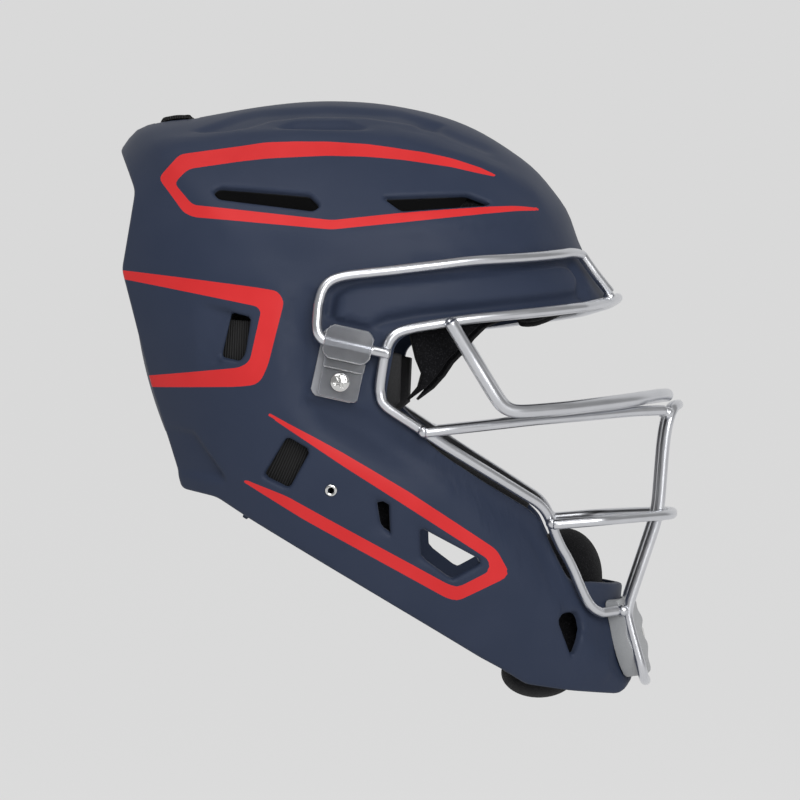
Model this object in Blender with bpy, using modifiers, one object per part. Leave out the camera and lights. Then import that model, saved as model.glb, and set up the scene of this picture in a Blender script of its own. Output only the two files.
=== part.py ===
"""Catcher's helmet with a wire face cage, a padded shell and a sprung back plate.

The wearer looks along -Y, +Z is up and the wearer's right side is -X. The origin lies in the middle of the
head, level with the side clips. Outlines are written in design millimetres as (forward, up) pairs.
"""

import math

import bmesh
import bpy
from mathutils import Matrix, Vector

MM = 0.001

# Overall size of the shell
HALF_WIDTH = 112.0 * MM
LENGTH = 272.0 * MM
HEIGHT = 312.0 * MM
DESIGN_HALF_WIDTH = 112.0 * MM
DESIGN_LENGTH = 272.0 * MM
DESIGN_HEIGHT = 312.0 * MM

# Shell
WALL = 4.0 * MM
GAP = 0.3 * MM
JAW_ANGLE = math.radians(-47.0)
JAW_SPREAD = math.radians(40.0)
JAW_TAPER = 0.25
CROWN_POWER = 2.3
JAW_POWER = 1.4
SIDE_POWER = 2.1
SEGMENTS_ROUND = 48
SEGMENTS_ACROSS = 20
CUT_REACH = 0.2

# Cage
WIRE_RADIUS = 2.6 * MM
DESIGN_WIRE_RADIUS = 2.6 * MM
EYE_BAR_RADIUS = 3.5 * MM
WIRE_STAND_OFF = 1.2 * MM
WIRE_STEP = 12.0 * MM
LEG_SPACING = 66.0 * MM

# The outlines below are those of the middle plane: the sides lie further forward and lower
SIDE_SWEEP_FORWARD = 8.2 * MM
SIDE_SWEEP_DOWN = 1.3 * MM
SIDE_SWEEP_FULL_SHARE = 0.89

# Side clips and their hardware
CLIP_TILT = math.radians(12.4)
CLIP_LENGTH = 37.0 * MM
CLIP_WIDTH = 25.0 * MM
CLIP_CORNER = 4.5 * MM
CLIP_THICKNESS = 9.4 * MM
FRAME_BY_CLIP = (29.0, -6.5)
CLIP_BEHIND_FRAME = 19.4 * MM
CLIP_CENTRE_UP = -9.5
CLIP_WIRE_ABOVE_CENTRE = 9.5 * MM
CLIP_SCREW_BELOW_CENTRE = 9.6 * MM
CLIP_WIRE_COVER = 1.2 * MM
CLIP_HEAD_FLOOR = 3.2 * MM
UPPER_WIRE_START = 21.5 * MM
UPPER_WIRE_BEND = 16.0 * MM
UPPER_WIRE_LIFT = 1.0 * MM
BASE_PLATE_THICKNESS = 2.2 * MM
BASE_PLATE_MARGIN = 1.5 * MM
SEAT_DEPTH = 2.2 * MM
SCREW_RADIUS = 2.5 * MM
SCREW_HEAD_RADIUS = 4.85 * MM
SCREW_HEAD_HEIGHT = 3.2 * MM
NUT_RADIUS = 6.5 * MM
NUT_THICKNESS = 3.0 * MM
NUT_CLEARANCE = 3.0 * MM * HALF_WIDTH / DESIGN_HALF_WIDTH
SHANK_PAST_NUT = 1.0 * MM
HEAD_ROOM = 0.8 * MM
DRILL_REACH = 0.02

# Eyelets
EYELET_AT = (2.3, -73.6)
EYELET_FLANGE_RADIUS = 3.2 * MM
EYELET_BORE_RADIUS = 1.5 * MM
EYELET_BARREL_RADIUS = 2.1 * MM
EYELET_FLANGE_THICKNESS = 0.8 * MM
EYELET_SEAT_DEPTH = 0.5 * MM

# Chin clip
CHIN_CLIP_OUTLINE = [
    (150, -134), (164, -133), (167.5, -139), (168.3, -149), (170, -158), (172, -163), (174.5, -168),
    (172, -172), (160, -174), (150, -150),
]
CHIN_CLIP_SCREW_UP = -154.0
CHIN_CLIP_SCREW_TILT = math.radians(8.0)
CHIN_CLIP_THICKNESS = 7.5 * MM
CHIN_NUT_CLEARANCE = 0.8 * MM

# Padding
PAD_THICKNESS = 12.0 * MM
PAD_INSET = WALL + 1.6 * MM
SIDE_PAD_INSET = WALL + 8.5 * MM
EDGE_FOAM_THICKNESS = 7.0 * MM
TEMPLE_PAD_THICKNESS = 9.0 * MM
CHIN_PAD_THICKNESS = 14.0 * MM
CHIN_PAD_INSET = WALL + 6.5 * MM
CHIN_PAD_LEAN_IN = 2.0 * MM
CHIN_PAD_HALF_WIDTH = 40.0
CHIN_PAD_TOP = -100.0
CHIN_PAD_BOTTOM = -174.0

# Back plate and its straps
PLATE_HALF_WIDTH = 56.0 * MM
PLATE_CURVE = 85.0 * MM
PLATE_THICKNESS = 3.0 * MM
PLATE_PAD_THICKNESS = 9.0 * MM
PLATE_TOP = 82.0
PLATE_BOTTOM = -46.0
PLATE_REAR = -99.0
PLATE_REARMOST_UP = 38.0
PLATE_BOW = 0.0024
STRAP_THICKNESS = 1.8 * MM
CROWN_STRAP_WIDTH = 25.0 * MM
SIDE_STRAP_WIDTH = 19.0 * MM
STRAP_END_GAP = 2.0 * MM
SIDE_STRAP_CLEARANCE = 1.6 * MM
UPPER_STRAP_RUN = [(-30, 1.5), (-47, 1.5), (-64, 3)]
UPPER_STRAP_PLATE_UP = 6.0
LOWER_STRAP_RUN = [(-10, -66), (-28, -58), (-46, -46), (-62, -38)]
LOWER_STRAP_PLATE_UP = -27.0

# Widest side outline of the shell's outer skin, as if it had no face or neck opening
SKIN_OUTLINE = [
    (-105, 104), (-95, 115), (-64, 120.5), (-32, 126), (5, 129), (42, 126), (80, 115), (99, 104),
    (113.5, 93), (123.5, 81.5), (131.5, 70), (139, 50), (153, 26), (163, -20), (166, -80), (159, -138),
    (165.5, -179), (168, -190), (150, -215), (110, -225), (60, -215), (0, -190), (-60, -140),
    (-91, -91), (-100, -58), (-112, -26), (-121, 0), (-126, 46), (-120, 78),
]

# Openings of the shell, side view
FACE_OPENING = [
    (220, 24), (153, 22), (121, 18), (71, 11), (40.5, 5), (35, 0), (30, -28), (58, -55), (77, -67.5),
    (105, -84), (111.5, -90), (115, -97), (128, -122), (145, -124), (160, -126), (220, -126),
]
NECK_OPENING = [
    (220, -166), (166, -176), (157, -183), (129, -180), (105, -176), (92, -168), (80, -161.5), (-40, -89),
    (-57, -78), (-75, -74), (-82, -49), (-91, -20), (-106, 39), (-99, 80), (-106, 104), (-107, 150),
    (-220, 150), (-220, -320), (220, -320),
]
REAR_VENT = [(-58.5, 79), (-55.5, 81.5), (-9, 77), (-3.5, 69.5), (-7, 68.5), (-55.5, 75)]
FRONT_VENT = [(29, 75.5), (72.5, 77.5), (80, 75.5), (84, 73), (81, 72), (38, 68.5), (33, 71.5)]
SIDE_WINDOW = [(-49, 16.5), (-38.5, 14), (-40, 6), (-42, -4.5), (-45, -8.5), (-54.5, -6.5), (-51, 9.5)]
STRAP_SLOT = [(-20, -46.5), (-8, -53.5), (-19.5, -73.5), (-33, -67)]
JAW_SLIT = [(26, -80), (31.5, -80.5), (32, -97), (28, -94)]
JAW_VENT = [(48, -94), (78.5, -110), (79, -112), (64.5, -120), (48.5, -108.5)]
CHIN_WINDOW = [(123.5, -143), (126, -140), (130.5, -140), (134, -144.5), (133.5, -148.5), (129.5, -159)]

# Crown slots for the upper strap: (rear edge, front edge), forward
CROWN_SLOTS = [(-86.0, -81.5), (-69.5, -65.0)]
CROWN_SLOT_HALF_WIDTH = 14.0 * MM

# Wires as (forward, up) on the skin, or (forward, up, across) where they stand clear of it
FRAME_SIDE = [
    (142.5, -140), (136.5, -137), (131.5, -129), (125, -113.5), (117, -99), (113, -87.5), (108, -81),
    (100.5, -76.5), (86, -67.5), (51, -46), (34, -35), (27.5, -30), (26, -25), (27.5, -14), (29.5, -2.5),
    (33, 5), (40.5, 8), (71, 13), (107, 16.5), (131, 19),
]
FRAME_FRONT = [(38, 21.5), (20, 23), (0, 23.5)]
UPPER_WIRE_SIDE = [
    (-3.5, 19.5), (-1, 29), (6, 33.5), (37, 37), (71, 41.5), (87, 43), (123.5, 46),
]
UPPER_WIRE_FRONT = [(44, 45), (42, 35)]
EYE_BAR_HALF = [
    (73.1, -5.6, 108.5), (82.2, -20.8, 106.5), (86.3, -27.4, 105.3), (89.4, -31.2, 104), (93.5, -33.4, 102.5),
    (98.7, -34, 100.3), (119.9, -32.4, 88), (147.6, -29.6, 64), (164, -28, 47), (179, -26.5, 24),
    (184.6, -26.5, 0),
]
MID_BAR_RUN = [(60, -43.2, 106), (104, -38.5, 84), (140, -36, 62), (160, -34.5, 48)]
LEG_RUN = [
    (181.5, -39), (179.5, -50.5), (176.5, -88.5), (172, -104), (164, -122.5), (159.8, -138), (160.6, -144.5),
    (165, -160), (167.5, -169),
]
LOWER_BAR_RUN = [(142, -90, 70), (165, -89, 50)]

# Pads as patches of the skin: forward-up angle range and sideways angle range, in degrees
CROWN_PAD_PATCH = ((62.0, 112.0), (-33.0, 33.0))
FRONT_PAD_PATCH = ((6.0, 47.0), (-47.0, 47.0))

# Side pads as (forward, up) corners: rear bottom, front bottom, front top, rear top
EAR_PAD = [(-62, -40), (24, -44), (26, 52), (-52, 56)]
JAW_PAD = [(-28, -80), (36, -106), (40, -62), (-14, -50)]
CHEEK_EDGE_PAD = [(46, -68), (101, -98), (109, -82), (44, -45)]
TEMPLE_PAD = [(46, -9), (64, -11), (70, 20), (50, 22)]

DARK_BLUE = (0.036, 0.046, 0.078, 1.0)
BLACK_FABRIC = (0.008, 0.008, 0.009, 1.0)
BLACK_FOAM = (0.012, 0.012, 0.013, 1.0)
SILVER = (0.62, 0.63, 0.65, 1.0)
STEEL = (0.7, 0.7, 0.7, 1.0)
CLEAR_GREY = (0.55, 0.56, 0.58, 1.0)
LIGHT_GREY = (0.5, 0.51, 0.52, 1.0)


def clear_scene():
    for item in list(bpy.data.objects):
        bpy.data.objects.remove(item)


def new_collection(name):
    collection = bpy.data.collections.new(name)
    bpy.context.scene.collection.children.link(collection)
    return collection


def make_material(name, colour, roughness, metallic=0.0):
    material = bpy.data.materials.new(name)
    material.use_nodes = True
    shader = material.node_tree.nodes["Principled BSDF"]
    shader.inputs["Base Color"].default_value = colour
    shader.inputs["Roughness"].default_value = roughness
    shader.inputs["Metallic"].default_value = metallic
    material.diffuse_color = colour
    return material


def forward_m(forward):
    """Design millimetres forward, as metres at the chosen length."""
    return forward * MM * LENGTH / DESIGN_LENGTH


def up_m(up):
    """Design millimetres up, as metres at the chosen height."""
    return up * MM * HEIGHT / DESIGN_HEIGHT


def across_m(across):
    """Design millimetres from the middle plane, as metres at the chosen width."""
    return across * MM * HALF_WIDTH / DESIGN_HALF_WIDTH


def smooth_points(points, step, closed=False):
    """Points about a step apart on the smooth curve through the given points."""
    count = len(points)
    found = []
    spans = count if closed else count - 1
    for i in range(spans):
        b = points[i]
        c = points[(i + 1) % count]
        a = points[i - 1] if closed or i > 0 else b * 2 - c
        d = points[(i + 2) % count] if closed or i + 2 < count else c * 2 - b
        pieces = max(1, math.ceil((c - b).length / step))
        tangent_b = centripetal_tangent(a, b, c)
        tangent_c = centripetal_tangent(b, c, d)
        reach = (c - b).length
        for k in range(pieces):
            t = k / pieces
            found.append(hermite(b, c, tangent_b * reach, tangent_c * reach, t))
    if not closed:
        found.append(points[-1].copy())
    return found


def centripetal_tangent(before, here, after):
    """Unit-speed tangent of a smooth curve at a point between two others."""
    first = max((here - before).length, 1e-9)
    second = max((after - here).length, 1e-9)
    return ((here - before) * (second / first) + (after - here) * (first / second)) / (first + second)


def hermite(b, c, tangent_b, tangent_c, t):
    squared = t * t
    cubed = squared * t
    return (
        b * (2 * cubed - 3 * squared + 1)
        + tangent_b * (cubed - 2 * squared + t)
        + c * (3 * squared - 2 * cubed)
        + tangent_c * (cubed - squared)
    )


def polar_outline():
    """The skin outline as sorted (angle, radius) pairs."""
    pairs = []
    for forward, up in SKIN_OUTLINE:
        place = Vector((forward_m(forward), up_m(up)))
        pairs.append((math.atan2(place.y, place.x), place.length))
    return sorted(pairs)


POLAR_OUTLINE = polar_outline()


def outline_radius(angle):
    """Radius of the skin's side outline in a direction, smooth between its points."""
    count = len(POLAR_OUTLINE)
    angle = (angle + math.pi) % (2 * math.pi) - math.pi
    k = 0
    while k < count and POLAR_OUTLINE[k][0] <= angle:
        k += 1

    def knot(i):
        turn, index = divmod(i, count)
        return Vector((POLAR_OUTLINE[index][0] + turn * 2 * math.pi, POLAR_OUTLINE[index][1]))

    a, b, c, d = knot(k - 2), knot(k - 1), knot(k), knot(k + 1)
    span = c.x - b.x
    t = (angle - b.x) / span
    slope_b = (c.y - a.y) / (c.x - a.x)
    slope_c = (d.y - b.y) / (d.x - b.x)
    squared = t * t
    cubed = squared * t
    return (
        b.y * (2 * cubed - 3 * squared + 1)
        + slope_b * span * (cubed - 2 * squared + t)
        + c.y * (3 * squared - 2 * cubed)
        + slope_c * span * (cubed - squared)
    )


def jaw_share(angle):
    """1 towards the chin, fading to 0 towards the crown and the neck."""
    turn = abs((angle - JAW_ANGLE + math.pi) % (2 * math.pi) - math.pi)
    return math.exp(-((turn / JAW_SPREAD) ** 2))


def skin_level(across, forward, up):
    """Below 0 inside the skin, 0 on it and above 0 outside."""
    angle = math.atan2(up, forward)
    share = jaw_share(angle)
    reach = math.hypot(forward, up) / outline_radius(angle)
    power = CROWN_POWER - (CROWN_POWER - JAW_POWER) * share
    width = HALF_WIDTH * (1 - JAW_TAPER * share * min(reach, 1.0) ** 2)
    return (abs(across) / width) ** SIDE_POWER + reach ** power - 1


def skin_width(forward, up):
    """Half-width of the skin at a place in the side view."""
    angle = math.atan2(up, forward)
    share = jaw_share(angle)
    reach = min(math.hypot(forward, up) / outline_radius(angle), 1.0)
    power = CROWN_POWER - (CROWN_POWER - JAW_POWER) * share
    width = HALF_WIDTH * (1 - JAW_TAPER * share * reach ** 2)
    return width * (1 - reach ** power) ** (1 / SIDE_POWER)


def skin_normal(across, forward, up):
    """Outward direction at a place near the skin, as a vector in world axes."""
    step = 0.2 * MM
    slope = Vector((
        skin_level(across + step, forward, up) - skin_level(across - step, forward, up),
        -(skin_level(across, forward + step, up) - skin_level(across, forward - step, up)),
        skin_level(across, forward, up + step) - skin_level(across, forward, up - step),
    ))
    return slope.normalized()


def world(across, forward, up):
    return Vector((across, -forward, up))


def lifted(across, forward, up, height):
    """The place on the skin, moved out along the skin's own direction."""
    return world(across, forward, up) + skin_normal(across, forward, up) * height


def skin_at_side(forward, up, height=0.0, side=1):
    """A place on the skin found by its side view, given in design millimetres."""
    f, u = forward_m(forward), up_m(up)
    return lifted(side * skin_width(f, u), f, u, height)


def edge_of(level, near, far):
    """Where a level changes from inside to outside between two distances."""
    for _ in range(40):
        middle = (near + far) / 2
        if level(middle) < 0:
            near = middle
        else:
            far = middle
    return near


def skin_at_front(across, up, height=0.0):
    """A place on the front of the skin found by its front view, given in design millimetres."""
    x, u = across_m(across), up_m(up)
    forward = edge_of(lambda f: skin_level(x, f, u), 0.0, LENGTH)
    return lifted(x, forward, u, height)


def crown_place(forward, height):
    """A place straight above or below the crown line, given in design millimetres forward."""
    f = forward_m(forward)
    top = edge_of(lambda u: skin_level(0, f, u), HEIGHT * 0.15, HEIGHT)
    return world(0, f, top + height)


def skin_by_angles(angle, lateral, height=0.0):
    """A place on the skin: angle turns in the side view, lateral from the middle plane to the side."""
    reach = math.cos(lateral)
    radius = outline_radius(angle) * reach
    f, u = radius * math.cos(angle), radius * math.sin(angle)
    return lifted(math.copysign(skin_width(f, u), lateral), f, u, height)


def link(name, data, collection, material=None):
    item = bpy.data.objects.new(name, data)
    collection.objects.link(item)
    if material is not None:
        data.materials.append(material)
    return item


def mesh_from(bm, name, flip_check=True):
    bm.normal_update()
    if flip_check:
        bmesh.ops.recalc_face_normals(bm, faces=bm.faces)
    mesh = bpy.data.meshes.new(name)
    bm.to_mesh(mesh)
    bm.free()
    return mesh


def as_cutter(item):
    item.hide_render = True
    item.display_type = "WIRE"
    return item


def cut(item, cutter):
    modifier = item.modifiers.new("cut_" + cutter.name, "BOOLEAN")
    modifier.operation = "DIFFERENCE"
    modifier.solver = "EXACT"
    modifier.object = cutter
    return modifier


def side_prism(name, outline, low, high, collection, material=None):
    """A side-view outline in metres, carried straight across from one sideways place to another."""
    curve = bpy.data.curves.new(name + "_outline", "CURVE")
    curve.dimensions = "2D"
    curve.fill_mode = "BOTH"
    curve.extrude = (high - low) / 2
    spline = curve.splines.new("POLY")
    spline.points.add(len(outline) - 1)
    for point, (forward, up) in zip(spline.points, outline):
        point.co = (forward, up, 0, 1)
    spline.use_cyclic_u = True
    drawn = link(name + "_drawn", curve, collection)
    bpy.context.view_layer.update()
    mesh = bpy.data.meshes.new_from_object(drawn.evaluated_get(bpy.context.evaluated_depsgraph_get()))
    bpy.data.objects.remove(drawn)
    bm = bmesh.new()
    bm.from_mesh(mesh)
    bpy.data.meshes.remove(mesh)
    bmesh.ops.remove_doubles(bm, verts=bm.verts, dist=1e-6)
    turn = Matrix(((0, 0, -1, (low + high) / 2), (-1, 0, 0, 0), (0, 1, 0, 0), (0, 0, 0, 1)))
    bm.transform(turn)
    return link(name, mesh_from(bm, name), collection, material)


def scaled_outline(outline):
    return [(forward_m(forward), up_m(up)) for forward, up in outline]


def skin_bmesh(height=0.0):
    """A closed surface at a height over the skin, its poles at the sides."""
    bm = bmesh.new()
    bmesh.ops.create_uvsphere(bm, u_segments=SEGMENTS_ROUND, v_segments=SEGMENTS_ACROSS, radius=1.0)
    for vert in bm.verts:
        angle = math.atan2(vert.co.y, vert.co.x)
        lateral = -math.asin(max(-1.0, min(1.0, vert.co.z)))
        if abs(vert.co.z) > 0.9999:
            vert.co = world(math.copysign(HALF_WIDTH + height, lateral), 0, 0)
        elif abs(vert.co.z) < 1e-4:
            radius = outline_radius(angle)
            vert.co = lifted(0, radius * math.cos(angle), radius * math.sin(angle), height)
        else:
            vert.co = skin_by_angles(angle, lateral, height)
    return bm


def make_shell(parts, cutters, material):
    shell = link("shell", mesh_from(skin_bmesh(), "shell", flip_check=False), parts, material)
    wall = shell.modifiers.new("wall", "SOLIDIFY")
    wall.thickness = WALL
    wall.offset = -1.0
    side_openings = {
        "face_opening": FACE_OPENING,
        "neck_opening": NECK_OPENING,
        "rear_vent": REAR_VENT,
        "front_vent": FRONT_VENT,
        "side_window": SIDE_WINDOW,
        "strap_slot": STRAP_SLOT,
        "jaw_slit": JAW_SLIT,
        "jaw_vent": JAW_VENT,
        "chin_window": CHIN_WINDOW,
    }
    for name, outline in side_openings.items():
        cut(shell, as_cutter(side_prism(name, scaled_outline(outline), -CUT_REACH, CUT_REACH, cutters)))
    for index, (rear, front) in enumerate(CROWN_SLOTS):
        cut(shell, as_cutter(crown_slot_cutter("crown_slot_%d" % index, rear, front, cutters)))
    return shell


def crown_slot_cutter(name, rear, front, collection):
    outline = [
        (forward_m(rear), up_m(90)), (forward_m(front), up_m(90)),
        (forward_m(front), up_m(150)), (forward_m(rear), up_m(150)),
    ]
    return side_prism(name, outline, -CROWN_SLOT_HALF_WIDTH, CROWN_SLOT_HALF_WIDTH, collection)


def wire(name, points, radius, collection, material, closed=False):
    curve = bpy.data.curves.new(name, "CURVE")
    curve.dimensions = "3D"
    curve.bevel_depth = radius
    curve.bevel_resolution = 2
    curve.use_fill_caps = not closed
    spline = curve.splines.new("POLY")
    spline.points.add(len(points) - 1)
    for point, place in zip(spline.points, points):
        point.co = (*place, 1)
    spline.use_cyclic_u = closed
    return link(name, curve, collection, material)


def wire_cutter(name, points, radius, collection, closed=False):
    """A closed tube mesh round a wire's own line, to cut the room that a neighbour leaves for it."""
    drawn = wire(name + "_drawn", points, radius, collection, None, closed)
    bpy.context.view_layer.update()
    mesh = bpy.data.meshes.new_from_object(drawn.evaluated_get(bpy.context.evaluated_depsgraph_get()))
    bpy.data.objects.remove(drawn)
    bm = bmesh.new()
    bm.from_mesh(mesh)
    bpy.data.meshes.remove(mesh)
    bmesh.ops.remove_doubles(bm, verts=bm.verts, dist=1e-6)
    return as_cutter(link(name, mesh_from(bm, name), collection))


def other_side(points):
    return [Vector((-p.x, p.y, p.z)) for p in points]


def open_place(forward, up, across):
    return world(across_m(across), forward_m(forward), up_m(up))


def frame_points():
    """Half of the frame wire, from its chin end to the middle of the brow."""
    height = WIRE_RADIUS + WIRE_STAND_OFF
    leg = leg_point(LEG_RUN[5])
    end = leg + Vector((3.0 * MM, 2 * WIRE_RADIUS + GAP, -0.5 * MM))
    side = [skin_at_side(forward, up, height) for forward, up in FRAME_SIDE]
    front = [skin_at_front(across, up, height) for across, up in FRAME_FRONT]
    return [end] + side + front


def leg_point(place):
    return world(LEG_SPACING / 2, forward_m(place[0]), up_m(place[1]))


def make_frame_wire(parts, material):
    half = frame_points()
    whole = half + other_side(half[-2::-1])
    return wire("frame_wire", smooth_points(whole, WIRE_STEP), WIRE_RADIUS, parts, material)


def nearest_on(points, forward, up):
    """The point of a path that is nearest to a place in the side view."""
    f, u = forward_m(forward), up_m(up)
    return min(points, key=lambda p: math.hypot(-p.y - f, p.z - u)).copy()


def clip_centre_forward():
    """The clip keeps its distance behind the frame wire, whatever the shell's length."""
    return forward_m(FRAME_BY_CLIP[0]) - CLIP_BEHIND_FRAME


def wire_growth():
    """How much thicker the wire is than the one its crossings were drawn for."""
    return WIRE_RADIUS - DESIGN_WIRE_RADIUS


def clip_wire_place(along):
    """A place on the wire where it runs through the side clip, so many metres forward of its middle."""
    f = clip_centre_forward() + math.sin(CLIP_TILT) * CLIP_WIRE_ABOVE_CENTRE + math.cos(CLIP_TILT) * along
    u = up_m(CLIP_CENTRE_UP) + math.cos(CLIP_TILT) * CLIP_WIRE_ABOVE_CENTRE - math.sin(CLIP_TILT) * along
    return world(clip_wire_across(), f, u)


def seat_across():
    return HALF_WIDTH - SEAT_DEPTH


def clip_inner_across():
    return seat_across() + GAP + BASE_PLATE_THICKNESS + GAP


def clip_wire_across():
    return clip_inner_across() + CLIP_THICKNESS - WIRE_RADIUS - CLIP_WIRE_COVER


def upper_wire_points():
    """The upper wire, from its end on the frame wire through the clip and along the brow to the front."""
    frame = frame_points()
    crossing = nearest_on(smooth_points(frame, 2 * MM), *FRAME_BY_CLIP)
    start = clip_wire_place(UPPER_WIRE_START)
    start.x = max(clip_wire_across(), crossing.x + 2 * WIRE_RADIUS + 4 * GAP) + 4 * wire_growth()
    height = WIRE_RADIUS + WIRE_STAND_OFF + UPPER_WIRE_LIFT
    bend = clip_wire_place(-UPPER_WIRE_BEND) + Vector((0, 0.5 * MM, 3.5 * MM))
    mouth = CLIP_WIDTH / 2 + GAP
    straight = mouth + 0.5 * MM
    through = [clip_wire_place(along) for along in (straight, mouth, -mouth, -straight)]
    points = [start] + through + [bend]
    points += [skin_at_side(forward, up, height) for forward, up in UPPER_WIRE_SIDE]
    points += [skin_at_front(across, up, height) for across, up in UPPER_WIRE_FRONT]
    brow = skin_at_front(FRAME_FRONT[0][0], FRAME_FRONT[0][1], WIRE_RADIUS + WIRE_STAND_OFF)
    points.append(brow + Vector((1.5 * MM, -1.0 * MM, 2 * WIRE_RADIUS + 4 * GAP)))
    return points


def make_upper_wires(parts, material):
    half = smooth_points(upper_wire_points(), WIRE_STEP)
    wire("upper_wire_left", half, WIRE_RADIUS, parts, material)
    wire("upper_wire_right", other_side(half), WIRE_RADIUS, parts, material)


def make_eye_bar(parts, material):
    frame = smooth_points(frame_points(), 2 * MM)
    start = nearest_on(frame, 62.5, 12)
    start.x += WIRE_RADIUS + EYE_BAR_RADIUS + 2 * GAP
    half = [start] + [open_place(*place) for place in EYE_BAR_HALF]
    half[-1].x = 0
    whole = half + other_side(half[-2::-1])
    wire("eye_bar", smooth_points(whole, WIRE_STEP), EYE_BAR_RADIUS, parts, material)


def loop_points():
    """The closed loop in front of the mouth, starting at the top of the left leg."""
    leg = [leg_point(place) for place in LEG_RUN]
    half = LEG_SPACING / 2
    top = [
        world(0, forward_m(190), up_m(-31.5)),
        world(half * 0.55, forward_m(188.4), up_m(-31.5)),
        world(half * 0.9, forward_m(184.6), up_m(-32.5)),
    ]
    bottom = [
        world(half * 0.86, forward_m(169.3), up_m(-174.5)),
        world(half * 0.5, forward_m(171.5), up_m(-176.5)),
        world(0, forward_m(172.6), up_m(-177)),
    ]
    half_loop = top + leg + bottom
    return half_loop + other_side(half_loop[-2:0:-1])


def make_centre_loop(parts, material):
    loop = smooth_points(loop_points(), WIRE_STEP, closed=True)
    wire("centre_loop", loop, WIRE_RADIUS, parts, material, closed=True)


def make_mid_bars(parts, material):
    frame = smooth_points(frame_points(), 2 * MM)
    start = nearest_on(frame, 49.5, -45)
    start.x += 2 * WIRE_RADIUS + GAP + 2 * wire_growth()
    leg_top = leg_point(LEG_RUN[0])
    end = Vector((leg_top.x + 2 * WIRE_RADIUS + GAP, leg_top.y + 3.0 * MM, up_m(-34)))
    run = [open_place(*place) for place in MID_BAR_RUN]
    for place in run:
        place.z -= wire_growth()
    path = smooth_points([start] + run + [end], WIRE_STEP)
    wire("mid_bar_left", path, WIRE_RADIUS, parts, material)
    wire("mid_bar_right", other_side(path), WIRE_RADIUS, parts, material)


def make_lower_bar(parts, material):
    frame = smooth_points(frame_points(), 2 * MM)
    start = nearest_on(frame, 114.5, -93)
    start.x += 2 * WIRE_RADIUS + GAP
    crossing = leg_point(LEG_RUN[2])
    in_front = crossing + Vector((0, -(2 * WIRE_RADIUS + 6 * GAP + 2 * wire_growth()), 0))
    middle = Vector((0, in_front.y - 3.5 * MM, in_front.z))
    half = [start] + [open_place(*place) for place in LOWER_BAR_RUN] + [in_front, middle]
    whole = half + other_side(half[-2::-1])
    wire("lower_bar", smooth_points(whole, WIRE_STEP), WIRE_RADIUS, parts, material)


def rounded_rectangle(width, length, corner, steps=4):
    """An upright rectangle with round corners, centred on 0, as (forward, up) pairs."""
    points = []
    for k, (sign_f, sign_u) in enumerate(((1, 1), (-1, 1), (-1, -1), (1, -1))):
        centre_f = sign_f * (width / 2 - corner)
        centre_u = sign_u * (length / 2 - corner)
        for i in range(steps + 1):
            angle = math.pi / 2 * (k + i / steps)
            points.append((centre_f + corner * math.cos(angle), centre_u + corner * math.sin(angle)))
    return points


def clip_frame(outline):
    """Turns a clip-centred outline to the clip's tilt and moves it to the clip's place."""
    cos_t, sin_t = math.cos(CLIP_TILT), math.sin(CLIP_TILT)
    f0, u0 = clip_centre_forward(), up_m(CLIP_CENTRE_UP)
    return [(f0 + f * cos_t + u * sin_t, u0 - f * sin_t + u * cos_t) for f, u in outline]


def cylinder_cutter(name, start, end, radius, collection, sides=20):
    """A closed round bar between two points."""
    bm = bmesh.new()
    axis = end - start
    bmesh.ops.create_cone(
        bm, cap_ends=True, segments=sides, radius1=radius, radius2=radius, depth=axis.length
    )
    turn = axis.to_track_quat("Z", "Y").to_matrix().to_4x4()
    bm.transform(Matrix.Translation((start + end) / 2) @ turn)
    return as_cutter(link(name, mesh_from(bm, name), collection))


def screw_place():
    """The clip screw's axis in the side view, in metres."""
    return clip_frame([(0, -CLIP_SCREW_BELOW_CENTRE)])[0]


def turned(name, profile, place, direction, collection, material, sides=20):
    """A ring or a round piece turned about an axis. The profile is (radius, height) pairs, top first."""
    mesh = bpy.data.meshes.new(name)
    bm = bmesh.new()
    verts = [bm.verts.new((radius, 0, height)) for radius, height in profile]
    closed = profile[0][0] > 0 and profile[-1][0] > 0
    for first, second in zip(verts, verts[1:]):
        bm.edges.new((first, second))
    if closed:
        bm.edges.new((verts[-1], verts[0]))
    bm.to_mesh(mesh)
    bm.free()
    item = link(name, mesh, collection, material)
    turn = item.modifiers.new("turn", "SCREW")
    turn.steps = sides
    turn.render_steps = sides
    turn.use_merge_vertices = True
    turn.merge_threshold = 0.00001
    item.location = place
    item.rotation_mode = "QUATERNION"
    item.rotation_quaternion = direction.to_track_quat("Z", "Y")
    return item


def screw_profile(head_under, shank_end):
    """Half of a round-headed screw, from the top of its head to the end of its shank."""
    top = head_under + SCREW_HEAD_HEIGHT
    return [
        (0, top), (SCREW_HEAD_RADIUS * 0.6, top - SCREW_HEAD_HEIGHT * 0.07),
        (SCREW_HEAD_RADIUS, head_under + SCREW_HEAD_HEIGHT * 0.45), (SCREW_HEAD_RADIUS, head_under),
        (SCREW_RADIUS, head_under), (SCREW_RADIUS, shank_end), (0, shank_end),
    ]


def nut_profile(top):
    """Half of a flanged nut, its flange at the top."""
    hole = SCREW_RADIUS + GAP
    waist = hole * 1.4
    step = top - NUT_THICKNESS * 0.4
    foot = top - NUT_THICKNESS
    return [(NUT_RADIUS, top), (NUT_RADIUS, step), (waist, step), (waist, foot), (hole, foot), (hole, top)]


def clip_outline(margin):
    """The clip's outline in the side view, grown by a margin all round."""
    width, length = CLIP_WIDTH + 2 * margin, CLIP_LENGTH + 2 * margin
    return clip_frame(rounded_rectangle(width, length, CLIP_CORNER + margin))


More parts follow.
